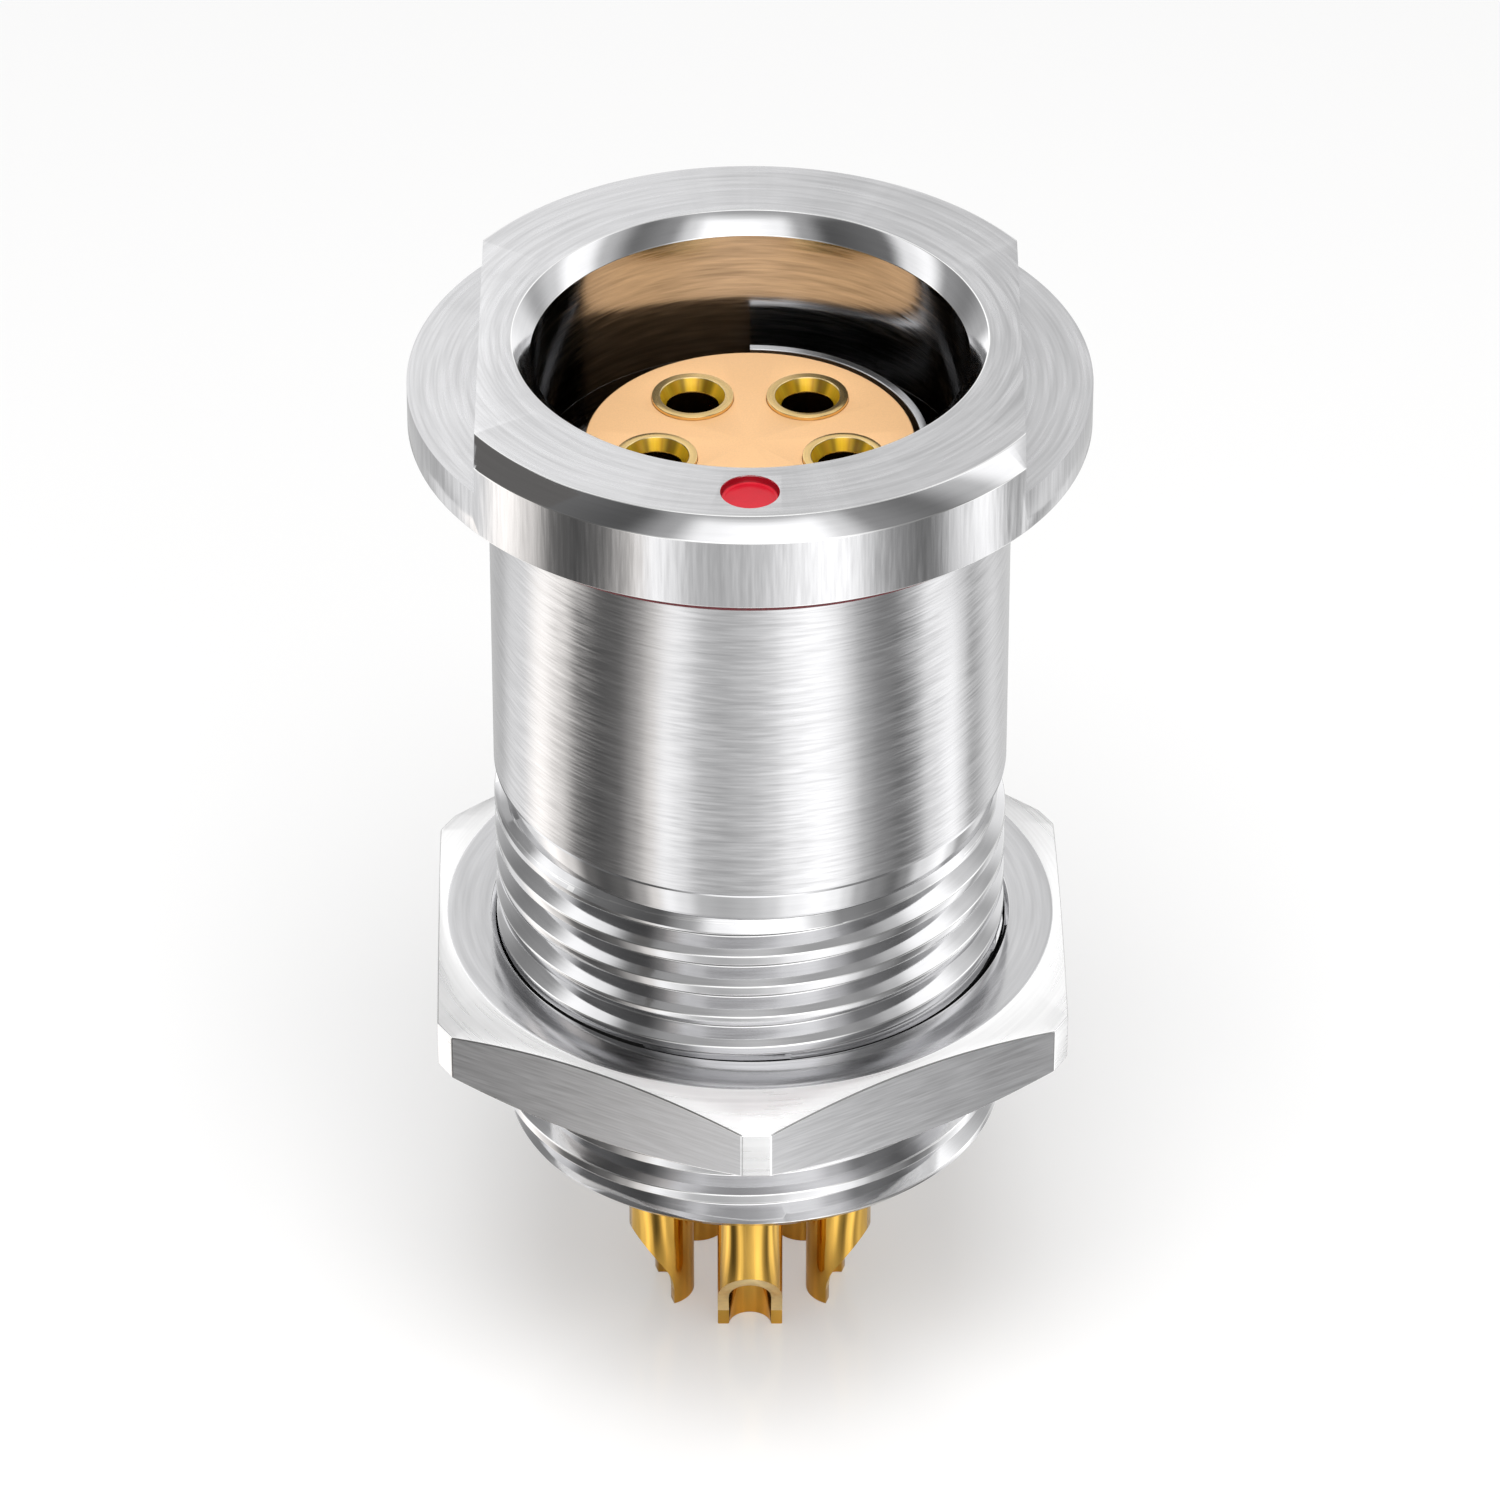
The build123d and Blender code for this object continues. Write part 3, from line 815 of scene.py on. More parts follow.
class RECEPTACLE_OT_shell(Operator):
    """Turned shell with flange, milled steps, barrel, helical thread and bore"""

    bl_idname = "receptacle.shell"
    bl_label = "Shell"

    def execute(self, context):
        sizes = context.scene.receptacle_shell
        looks = context.scene.receptacle_finishes
        face_z = SHELL_HIGH.z
        end_z = SHELL_LOW.z
        flange = SHELL_HIGH.x
        back_z = GASKET_HIGH.z
        edge = mm(sizes.edge)
        fine = edge / 2
        barrel = mm(sizes.barrel_radius)
        barrel_end = -mm(sizes.barrel_end)
        thread_start = -mm(sizes.thread_start)
        root = barrel - mm(sizes.thread_depth)
        core = root - 0.1
        relief = mm(sizes.relief_radius)
        mouth = mm(sizes.mouth_radius)
        chamfer = mm(sizes.mouth_chamfer)
        flange_chamfer = mm(sizes.flange_chamfer)
        floor_z = face_z - mm(sizes.mouth_depth)
        groove_z = face_z - mm(sizes.groove_top)
        groove_end = groove_z - mm(sizes.groove_width)
        groove = mouth + mm(sizes.groove_depth)
        shoulder_back = floor_z - mm(sizes.shoulder_thickness)
        shoulder = mm(sizes.shoulder_radius)
        rear_bore = mm(sizes.rear_bore_radius)
        bore_chamfer = mm(sizes.rear_chamfer)
        lip = mm(sizes.lip)
        outer = [
            (core, thread_start, 0.0),
            (relief, thread_start, fine),
            (relief, barrel_end - lip, 0.0),
            (barrel - lip / 4, barrel_end - lip, 0.0),
            (barrel, barrel_end - lip * 3 / 4, 0.0),
            (barrel - lip * 5 / 4, barrel_end + lip / 2, 0.0),
            (barrel, barrel_end + lip, 0.0),
            (barrel, back_z, 0.0),
            (flange, back_z, edge),
            (flange, face_z - flange_chamfer, fine),
            (flange - flange_chamfer, face_z, fine),
            (mouth + chamfer, face_z, fine),
            (mouth, face_z - chamfer, fine),
            (mouth, groove_z, edge),
            (groove, groove_z, 0.0),
            (groove, groove_end, 0.0),
            (mouth, groove_end, edge),
            (mouth, floor_z, 0.0),
            (shoulder, floor_z, edge),
            (shoulder, shoulder_back, edge),
            (rear_bore, shoulder_back, 0.0),
            (rear_bore, end_z + bore_chamfer, fine),
            (rear_bore + bore_chamfer, end_z, fine),
            (core, end_z, 0.0),
        ]
        body = turned(outer, steps=192)
        step = mm(sizes.step_across) / 2
        step_z = face_z - mm(sizes.step_depth)
        reach = flange + CUTTER_ROOM
        above = face_z + CUTTER_ROOM
        dot = (DOT_LOW + DOT_HIGH) / 2
        dot_radius = (DOT_HIGH.x - DOT_LOW.x) / 2 + mm(sizes.pocket_gap)
        cutter = joined(
            box_solid((step, -reach, step_z), (reach, reach, above)),
            box_solid((-reach, -reach, step_z), (-step, reach, above)),
            rod_solid((dot.x, dot.y), dot_radius, DOT_LOW.z, above),
        )
        body = carved(body, cutter)

        # Break only the cut edges of the steps and of the dot's pocket
        def cut_edge(candidate):
            radius, height = spot(candidate)
            return height > step_z - 0.05 and radius > mouth + chamfer + 0.05

        break_edges(body, mm(sizes.cut_edge), cut_edge)
        whole = joined(body, thread_sleeve(sizes, thread_start, end_z, core))

        # Number of the finish of each face, in the order of the list below
        def region(face):
            radius, height = spot(face)
            if abs(height - barrel_end) < lip + 0.005 and radius > relief + 0.1:
                return 1
            if height < barrel_end and radius > root - 0.03:
                # Thread within the nut's height gets nearly black painted shade
                if all(NUT_LOW.z < vert.co.z < NUT_HIGH.z for vert in face.verts):
                    return 8
                # Faces in the thread's roots get painted shade, dark lines in the creases
                return 7 if radius < root + 0.05 and height < thread_start else 2
            # The shoulder at the bottom of the mouth gets painted shade
            if radius < mouth + 0.02 and shoulder_back < height < floor_z + 0.1:
                return 6
            if radius < mouth + 0.02 or (radius < groove + 0.02 and groove_end < height < groove_z):
                return 3
            sloping = 0.4 < face.normal.z < 0.95 and height > face_z - flange_chamfer - 0.01
            if sloping and (radius < mouth + chamfer or radius > flange - flange_chamfer):
                return 1
            if face.normal.z > 0.95 and height > back_z:
                return 4
            if radius > flange - 0.1 and height > back_z + edge:
                return 5
            if abs(face.normal.x) > 0.9 and height > step_z and radius > step - 0.05:
                return 9
            return 0

        metal = looks.steel
        materials = [
            finish("Satin turned metal", metal, looks.satin, anisotropy=0.5,
                   counts=(14.0, 6.5, 0.35), shade=0.15, uneven=0.06, depth=0.0019),
            finish("Polished chamfer", metal, looks.polish, anisotropy=0.3,
                   counts=(10.0, 3.0, 0.35), shade=0.03, uneven=0.02, depth=0.0003),
            finish("Rolled thread", metal, looks.thread_polish, anisotropy=0.2,
                   counts=(8.0, 3.0, 0.35), shade=0.04, uneven=0.03, depth=0.0004),
            # The bore's metal is dimmed, and darkened at its sides towards -X and +X: painted shade
            finish("Bore metal", dimmed(metal, 0.78), 0.14, anisotropy=0.3,
                   counts=(10.0, 4.0, 0.35), shade=0.26, uneven=0.06, depth=0.0018,
                   side_shade_range=(0.72, 0.9)),
            # The flange's top takes the painted sheen fans and the painted side light
            finish("Faced metal", metal, 0.22, anisotropy=0.8,
                   counts=(8.5, 3.0, 0.35), shade=0.24, uneven=0.07, depth=0.0032, painted_fans=0.45),
            finish("Upright brushed metal", metal, 0.12,
                   counts=(0.7, 95.0, 0.35), shade=0.13, uneven=0.05, depth=0.0012),
            painted_shade_metal(looks),
            # Metal at 0.3 of its colour for the thread's roots: painted shade
            finish("Thread root in painted shade", dimmed(metal, 0.3), 0.2,
                   counts=(8.0, 3.0, 0.35), shade=0.06, uneven=0.04, depth=0.0004),
            painted_shade_thread(),
            finish("Milled metal", metal, 0.2, grain_marks(), anisotropy=0.3,
                   counts=(0.8, 14.0, 0.35), shade=0.12, uneven=0.05, depth=0.0012),
        ]
        made = piece("shell_turned", whole, materials, region, highlit_worn_edge(looks))
        settle(made, "receptacle", ["shell"])
        return {"FINISHED"}


class RECEPTACLE_OT_nut(Operator):
    """Hex nut cut from a turned ring by six flats"""

    bl_idname = "receptacle.nut"
    bl_label = "Hex nut"

    def execute(self, context):
        sizes = context.scene.receptacle_nut
        looks = context.scene.receptacle_finishes
        top = NUT_HIGH.z
        bottom = NUT_LOW.z
        corner = NUT_HIGH.y
        chamfer = mm(sizes.chamfer_height)
        ring = mm(sizes.face_radius)
        bore = mm(sizes.bore_radius)
        sink = mm(sizes.bore_chamfer)
        apothem = mm(sizes.across_flats) / 2
        solid = turned([
            (bore + sink, top, 0.02),
            (ring, top, 0.06),
            (corner, top - chamfer, 0.0),
            (corner, bottom + chamfer, 0.0),
            (ring, bottom, 0.06),
            (bore + sink, bottom, 0.02),
            (bore, bottom + sink, 0.0),
            (bore, top - sink, 0.0),
        ], steps=360)
        for side in range(6):
            angle = sizes.turned + pi / 6 + side * pi / 3
            outwards = Vector((cos(angle), sin(angle), 0.0))
            cut = cut_plane(solid, outwards * apothem, outwards, clear_outer=True)
            rim = [part for part in cut["geom_cut"] if isinstance(part, bmesh.types.BMEdge)]
            bmesh.ops.edgeloop_fill(solid, edges=rim)
        bmesh.ops.recalc_face_normals(solid, faces=solid.faces[:])
        break_edges(solid, mm(sizes.edge), lambda edge: spot(edge)[0] > ring, limit=12.0)

        # Number of the finish of each face, in the order of the list below
        def region(face):
            radius = spot(face)[0]
            upright = abs(face.normal.z) < 0.3
            # The nut's bore gets nearly black painted shade
            if radius < bore + 0.02 and upright:
                return 3
            if radius < ring:
                return 0
            return 1 if upright and radius < corner - 0.1 else 2

        materials = [
            finish("Turned nut face", looks.nut_metal, 0.13, anisotropy=0.4,
                   counts=(8.0, 3.0, 0.35), shade=0.09, uneven=0.04, depth=0.001),
            finish("Brushed nut side", looks.nut_metal, 0.42, grain_marks(), metallic=0.85, anisotropy=0.3,
                   counts=(0.8, 15.0, 0.3), shade=0.12, uneven=0.05, depth=0.0012),
            # Near-white, partly metallic colour on the nut's chamfers and corners: painted highlight
            finish("Nut chamfer highlight", (0.93, 0.93, 0.93), 0.3, metallic=0.6,
                   anisotropy=0.3, counts=(8.0, 2.5, 0.35), shade=0.06, uneven=0.04, depth=0.0008),
            painted_shade_thread(),
        ]
        made = piece("nut_hexagon", solid, materials, region, highlit_worn_edge(looks))
        settle(made, "nut", ["hex_nut"])
        return {"FINISHED"}


class RECEPTACLE_OT_gasket(Operator):
    """Flat rubber ring under the flange"""

    bl_idname = "receptacle.gasket"
    bl_label = "Panel gasket"

    def execute(self, context):
        looks = context.scene.receptacle_finishes
        inner = mm(context.scene.receptacle_shell.barrel_radius) + 0.05
        outer = GASKET_HIGH.x
        solid = turned([
            (inner, GASKET_LOW.z, 0.05),
            (outer, GASKET_LOW.z, 0.2),
            (outer, GASKET_HIGH.z, 0.1),
            (inner, GASKET_HIGH.z, 0.05),
        ])
        rubber = finish("Gasket rubber", looks.gasket, 0.55, grain_marks(), metallic=0.0,
                        counts=(9.0, 9.0, 0.8), shade=0.15, uneven=0.08, depth=0.003)
        made = piece("gasket_ring", solid, [rubber])
        settle(made, "receptacle", ["panel_gasket"])
        return {"FINISHED"}


class RECEPTACLE_OT_dot(Operator):
    """Enamel dot with a raised meniscus in its pocket"""

    bl_idname = "receptacle.dot"
    bl_label = "Alignment dot"

    def execute(self, context):
        looks = context.scene.receptacle_finishes
        centre = (DOT_LOW + DOT_HIGH) / 2
        radius = (DOT_HIGH.x - DOT_LOW.x) / 2 + mm(context.scene.receptacle_shell.pocket_gap)
        top = DOT_HIGH.z
        solid = turned([
            (0.0, DOT_LOW.z, 0.0),
            (radius, DOT_LOW.z, 0.0),
            (radius, top + 0.16, 0.0),
            (radius * 0.955, top + 0.02, 0.03),
            (radius * 0.88, top - 0.01, 0.02),
            (0.0, top, 0.0),
        ], steps=96)
        # The enamel up the pocket's wall and round its rim is darker: painted shade of the pocket
        for face in solid.faces:
            face.material_index = int(spot(face)[0] > radius * 0.945)
        bmesh.ops.translate(solid, vec=(centre.x, centre.y, 0.0), verts=solid.verts[:])
        rim_shade_enamel = finish("Enamel rim shade", dimmed(looks.enamel, 0.5), 0.22, grain_marks(), metallic=0.0,
                      counts=(1.5, 1.5, 0.9), shade=0.06, uneven=0.03, depth=0.002, specular=0.2)
        enamel = finish("Dot enamel", looks.enamel, 0.22, grain_marks(), metallic=0.0,
                        counts=(1.5, 1.5, 0.9), shade=0.06, uneven=0.03, depth=0.002, specular=0.25)
        made = piece("dot_enamelled", solid, [enamel, rim_shade_enamel])
        settle(made, "receptacle", ["red_dot"])
        return {"FINISHED"}


class RECEPTACLE_OT_carrier(Operator):
    """Metal carrier sleeve whose front end is a half-moon"""

    bl_idname = "receptacle.carrier"
    bl_label = "Contact carrier"

    def execute(self, context):
        sizes = context.scene.receptacle_insert
        looks = context.scene.receptacle_finishes
        shell = context.scene.receptacle_shell
        top = CARRIER_HIGH.z
        outer = CARRIER_RADIUS
        inner = outer - mm(sizes.half_moon_wall)
        bore = FRONT_HIGH.x + mm(sizes.carrier_gap)
        moon_end = top - mm(sizes.half_moon_length)
        flange = CARRIER_HIGH.x
        shoulder_back = SHELL_HIGH.z - mm(shell.mouth_depth) - mm(shell.shoulder_thickness)
        flange_back = shoulder_back - mm(sizes.carrier_flange)
        tail = bore + mm(sizes.carrier_wall)
        end = CARRIER_LOW.z
        front = turned([
            (inner, moon_end, 0.0),
            (outer, moon_end, 0.0),
            (outer, top, 0.035),
            (inner, top, 0.035),
        ], steps=192)
        low = (-flange, -flange, moon_end - CUTTER_ROOM)
        front = carved(front, box_solid(low, (0.0, flange, top + CUTTER_ROOM)))
        break_edges(front, 0.025)
        rear = turned([
            (outer, moon_end, 0.03),
            (outer, shoulder_back, 0.0),
            (flange, shoulder_back, 0.05),
            (flange, flange_back, 0.05),
            (tail, flange_back, 0.0),
            (tail, end, 0.05),
            (bore, end, 0.05),
            (bore, moon_end, 0.03),
        ], steps=128)
        # Faces between the carrier's flange and its half-moon get painted shade
        made = piece("carrier_half_moon", joined(front, rear), [carrier_metal(looks), painted_shade_metal(looks)],
                     lambda face: int(flange_back < spot(face)[1] < moon_end + 0.02))
        settle(made, "receptacle", ["contact_carrier"])
        return {"FINISHED"}


def contact_spots(nodes):
    """Axis of each contact or hood, from the frame."""
    spots = []
    for node in nodes:
        low, high = node_box(node)
        spots.append(((low.x + high.x) / 2, (low.y + high.y) / 2))
    return spots


def drilled(solid, radius, low, high):
    """Drill a hole for each contact through a solid that lies between two heights."""
    low, high = low - CUTTER_ROOM, high + CUTTER_ROOM
    return carved(solid, joined(*(rod_solid(place, radius, low, high) for place in contact_spots(HOODS))))


class RECEPTACLE_OT_insulators(Operator):
    """Front and rear insulators with their contact holes"""

    bl_idname = "receptacle.insulators"
    bl_label = "Insulators"

    def execute(self, context):
        sizes = context.scene.receptacle_insert
        looks = context.scene.receptacle_finishes
        gap = mm(sizes.hole_gap)
        radius = FRONT_HIGH.x
        resin = finish("Insulator resin", looks.resin, 0.42, grain_marks(), metallic=0.0,
                       counts=(26.0, 26.0, 0.6), shade=0.05, uneven=0.06, depth=0.0015)
        front = turned([
            (0.0, FRONT_LOW.z, 0.0),
            (radius, FRONT_LOW.z, 0.05),
            (radius, FRONT_HIGH.z, 0.06),
            (0.0, FRONT_HIGH.z, 0.0),
        ], steps=192)
        front = drilled(front, (HOOD_HIGH.x - HOOD_LOW.x) / 2 + gap, FRONT_LOW.z, FRONT_HIGH.z)
        break_edges(front, 0.012)
        # Resin at 0.45 of its colour on the insulator's side wall: painted shade in the gap
        wall = finish("Insulator wall in painted shade", dimmed(looks.resin, 0.45), 0.42, grain_marks(), metallic=0.0,
                      counts=(26.0, 26.0, 0.6), shade=0.05, uneven=0.06, depth=0.0015)
        made = piece("insulator_face", front, [resin, wall],
                     lambda face: int(spot(face)[0] > radius - 0.02))
        settle(made, "receptacle", ["insulator_front"])
        collar_top = CARRIER_LOW.z
        collar_back = collar_top - mm(sizes.collar_thickness)
        nose = radius - mm(sizes.nose_step)
        rear = turned([
            (0.0, REAR_LOW.z, 0.0),
            (nose, REAR_LOW.z, 0.12),
            (nose, collar_back, 0.0),
            (REAR_HIGH.x, collar_back, 0.1),
            (REAR_HIGH.x, collar_top, 0.1),
            (radius, collar_top, 0.0),
            (radius, REAR_HIGH.z, 0.05),
            (0.0, REAR_HIGH.z, 0.0),
        ], steps=128)
        rear = drilled(rear, mm(sizes.tail_radius) + gap, REAR_LOW.z, REAR_HIGH.z)
        break_edges(rear, 0.03)
        made = piece("insulator_back", rear, [resin])
        settle(made, "receptacle", ["insulator_rear"])
        return {"FINISHED"}


class RECEPTACLE_OT_contacts(Operator):
    """Gold contacts with scooped solder cups, and the hoods in front of them"""

    bl_idname = "receptacle.contacts"
    bl_label = "Contacts and hoods"

    def execute(self, context):
        sizes = context.scene.receptacle_insert
        looks = context.scene.receptacle_finishes
        edge = mm(sizes.edge)
        barrel = (CONTACT_HIGH.x - CONTACT_LOW.x) / 2
        tail = mm(sizes.tail_radius)
        cup = mm(sizes.cup_radius)
        socket = mm(sizes.socket_radius)
        top = CONTACT_HIGH.z
        tip = CONTACT_LOW.z
        split = FRONT_LOW.z
        cup_top = tip + mm(sizes.cup_depth)
        inside = mm(sizes.scoop_inside)
        slope = tan(sizes.scoop_slope)
        foot = tip + mm(sizes.scoop_length) - (tail + inside) * slope
        reach = 2 * tail
        pin = mm(sizes.pin_hole_radius)
        sink = mm(sizes.countersink_radius)
        socket_end = top - mm(sizes.socket_depth)
        slot = mm(sizes.slot_width) / 2
        slot_end = top - mm(sizes.slot_length)
        hood_top = HOOD_HIGH.z
        sink_end = hood_top - mm(sizes.countersink_depth)
        # Lighter and darker streaks along each contact stand in for the bands it reflects: painted
        # reflections
        gold = finish("Contact gold", looks.gold, 0.11, turning_marks(True),
                      counts=(0.4, 2.6, 0.8), shade=0.2, uneven=0.05, depth=0.003)
        rim_gold = finish("Hood gold", looks.hood_gold, 0.18, turning_marks(True),
                          counts=(9.0, 1.0, 0.9), shade=0.1, uneven=0.03, depth=0.0003)
        cut_gold = finish("Cut gold", (0.95, 0.74, 0.38), 0.34, grain_marks(),
                          counts=(4.0, 9.0, 0.9), shade=0.06, uneven=0.05, depth=0.0008)
        # The countersinks carry painted highlights and shade round their own axis
        sink_gold = finish("Countersunk gold", (1.0, 0.54, 0.025), 0.2, turning_marks(True), metallic=0.1,
                           counts=(0.5, 6.0, 0.8), shade=0.2, uneven=0.03, depth=0.001, painted_highlights=SINK_PAINTED_LIGHT)
        # Brighter gold on the hoods' rounded edges: painted highlight
        highlit_edge_gold = finish("Gold edge highlight", (0.88, 0.68, 0.34), 0.16, turning_marks(True),
                           counts=(3.0, 1.0, 0.8), shade=0.03, uneven=0.02, depth=0.0002)
        # Dark gold inside the sockets and pin holes: painted shade
        hole_shade_gold = finish("Gold in painted hole shade", (0.16, 0.09, 0.02), 0.3, counts=(9.0, 3.0, 0.8), shade=0.1,
                            uneven=0.04, depth=0.0006)

        # Number of the finish of each face: turned gold, cut gold, or gold in the socket with painted shade
        def cup_region(face):
            if abs(face.normal.y) < 0.02 and face.normal.x > 0.3 and face.normal.z < -0.08:
                return 1
            radius, height = spot(face)
            return 2 if radius < socket + 0.01 and height > cup_top + cup else 0

        # Number of the finish of each face: rim, countersink, or gold in the pin hole with painted shade
        def hood_region(face):
            radius, height = spot(face)
            if radius > sink + 0.005 or radius > barrel - 0.05:
                return 0
            return 1 if height > sink_end - 0.03 else 2

        for number, (x, y) in enumerate(contact_spots(CONTACTS)):
            solid = turned([
                (socket, top, edge),
                (barrel, top, edge),
                (barrel, split, edge),
                (tail, split, 0.0),
                (tail, tip, edge),
                (cup, tip, edge),
                (cup, cup_top, 0.0),
                (0.0, cup_top + cup * 0.5, 0.0),
                (0.0, socket_end, 0.0),
                (socket, socket_end, 0.0),
            ], steps=72)
            scoop = outline_wire([
                (-inside, tip - CUTTER_ROOM, 0.0),
                (-inside, foot, mm(sizes.scoop_rounding)),
                (reach, foot + (reach + inside) * slope, 0.0),
                (reach, tip - CUTTER_ROOM, 0.0),
            ])
            bmesh.ops.contextual_create(scoop, geom=scoop.edges[:])
            bmesh.ops.translate(scoop, vec=(0.0, -reach, 0.0), verts=scoop.verts[:])
            grown = bmesh.ops.extrude_face_region(scoop, geom=scoop.faces[:])
            moved = [part for part in grown["geom"] if isinstance(part, bmesh.types.BMVert)]
            bmesh.ops.translate(scoop, vec=(0.0, 2 * reach, 0.0), verts=moved)
            bmesh.ops.recalc_face_normals(scoop, faces=scoop.faces[:])
            slit = box_solid((-reach, -slot, slot_end), (reach, slot, top + CUTTER_ROOM))
            solid = carved(solid, joined(scoop, slit))
            break_edges(solid, 0.02)
            keep_place(solid)
            for face in solid.faces:
                face.material_index = cup_region(face)
            outward = Vector((x, y, 0.0)).to_track_quat("X", "Z").to_matrix()
            bmesh.ops.rotate(solid, cent=(0, 0, 0), matrix=outward, verts=solid.verts[:])
            bmesh.ops.translate(solid, vec=(x, y, 0.0), verts=solid.verts[:])
            made = piece(f"contact_gold_{number + 1}", solid, [gold, cut_gold, hole_shade_gold])
            settle(made, "receptacle", [CONTACTS[number]])

            hood = turned([
                (sink, hood_top, 0.02),
                (barrel, hood_top, 0.02),
                (barrel, HOOD_LOW.z, edge),
                (pin, HOOD_LOW.z, edge),
                (pin, sink_end, 0.03),
            ], steps=96)
            keep_place(hood)
            for face in hood.faces:
                face.material_index = hood_region(face)
            bmesh.ops.translate(hood, vec=(x, y, 0.0), verts=hood.verts[:])
            made = piece(f"hood_gold_{number + 1}", hood, [rim_gold, sink_gold, hole_shade_gold], edges=highlit_edge_gold)
            settle(made, "receptacle", [HOODS[number]])
        return {"FINISHED"}


class RECEPTACLE_OT_rear(Operator):
    """Retaining ring behind the insert, and the materials of the hidden pieces"""

    bl_idname = "receptacle.rear"
    bl_label = "Retaining ring"

    def execute(self, context):
        sizes = context.scene.receptacle_insert
        outer = RING_HIGH.x
        inner = FRONT_HIGH.x - mm(sizes.nose_step) + mm(sizes.ring_gap)
        ring = turned([
            (inner, RING_LOW.z, 0.06),
            (outer, RING_LOW.z, 0.08),
            (outer, RING_HIGH.z, 0.08),
            (inner, RING_HIGH.z, 0.06),
        ], steps=128)
        reach = outer + CUTTER_ROOM
        half = mm(sizes.ring_slot_width) / 2
        low, high = RING_LOW.z - CUTTER_ROOM, RING_LOW.z + mm(sizes.ring_slot_depth)
        ring = carved(ring, box_solid((-reach, -half, low), (reach, half, high)))
        ring = carved(ring, box_solid((-half, -reach, low), (half, reach, high)))
        break_edges(ring, 0.03)
        made = piece("ring_slotted", ring, [carrier_metal(context.scene.receptacle_finishes)])
        settle(made, "receptacle", ["retaining_ring"])
        rubber = finish("Seal rubber", (0.03, 0.03, 0.03), 0.5, grain_marks(), metallic=0.0,
                        counts=(9.0, 9.0, 0.8), shade=0.2, uneven=0.08, depth=0.003)
        # The spring crown's bronze is darkened to the dark of the gap it sits in: painted shade
        shaded_bronze = finish("Spring bronze in painted shade", (0.2, 0.13, 0.07), 0.4, grain_marks(),
                        counts=(2.0, 10.0, 0.6), shade=0.08, uneven=0.05, depth=0.001)
        for node, material in (("carrier_seal", rubber), ("earth_crown", shaded_bronze)):
            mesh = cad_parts[node].data
            mesh.materials.clear()
            mesh.materials.append(material)
        return {"FINISHED"}


class RECEPTACLE_OT_stage(Operator):
    """Pale floor, soft lights, reflection cards and the camera"""

    bl_idname = "receptacle.stage"
    bl_label = "Stage"

    def execute(self, context):
        sizes = context.scene.receptacle_stage
        scene = context.scene
        floor_z = cad_bounds[0][2]
        add_floor(sizes, floor_z)
        add_world(scene, sizes)
        add_light("overhead", (0.0, -93.0, 238.0), (170.0, 140.0), sizes.overhead_power)
        add_light("front", (50.0, -240.0, 190.0), (220.0, 160.0), sizes.front_power)
        add_flag()
        add_camera(scene, sizes)
        scene.view_settings.view_transform = "Standard"
        return {"FINISHED"}


def flat_piece(name, corners, material):
    """Single rectangle from its centre and its two half axes, in metres."""
    centre, half_x, half_y = (Vector(value) for value in corners)
    sheet = bmesh.new()
    bmesh.ops.create_grid(sheet, x_segments=1, y_segments=1, size=1.0)
    turned_to = Matrix((half_x, half_y, half_x.cross(half_y).normalized())).transposed()
    bmesh.ops.transform(sheet, matrix=Matrix.Translation(centre) @ turned_to.to_4x4(), verts=sheet.verts[:])
    mesh = bpy.data.meshes.new(name)
    sheet.to_mesh(mesh)
    sheet.free()
    mesh.materials.append(material)
    made = bpy.data.objects.new(name, mesh)
    bpy.context.scene.collection.objects.link(made)
    return made


def seen_by(tree, *kinds):
    """1 for rays of any of these kinds, 0 for the others."""
    paths = add_node(tree, "LightPath")
    result = paths.outputs[f"Is {kinds[0]} Ray"]
    for kind in kinds[1:]:
        result = calculate(tree, "MAXIMUM", result, paths.outputs[f"Is {kind} Ray"])
    return result


def eased_ramp(tree, value, stops):
    """Eased ramp through (place, colour) stops."""
    node = add_node(tree, "ValToRGB", {0: value})
    node.color_ramp.interpolation = "EASE"
    elements = node.color_ramp.elements
    for number, (place, colour_there) in enumerate(stops):
        if number in (0, len(stops) - 1):
            element = elements[0 if number == 0 else len(elements) - 1]
            element.position = place
        else:
            element = elements.new(place)
        element.color = (*colour_there, 1.0)
    return node.outputs["Color"]


def card_ring(tree, direction, cards, stretch=1.0, warmth=0.0):
    """Brightness of a ring of light and dark cards, by the azimuth of a direction from the dot's side."""
    parts = add_node(tree, "SeparateXYZ", {0: direction}).outputs
    angle = calculate(tree, "ARCTAN2", parts["X"], calculate(tree, "MULTIPLY", parts["Y"], -1.0))
    angle = calculate(tree, "MULTIPLY", angle, stretch)
    place = calculate(tree, "ADD", calculate(tree, "DIVIDE", angle, 2 * pi), 0.5)
    stops = []
    for azimuth, brightness in cards:
        tilt = warmth / 2 if WARM_CARDS[0] <= azimuth <= WARM_CARDS[1] else 0.0
        tinted = (brightness * (1.0 + tilt), brightness, brightness * (1.0 - tilt))
        stops.append((azimuth / 360.0 + 0.5, tinted))
    return eased_ramp(tree, place, stops)


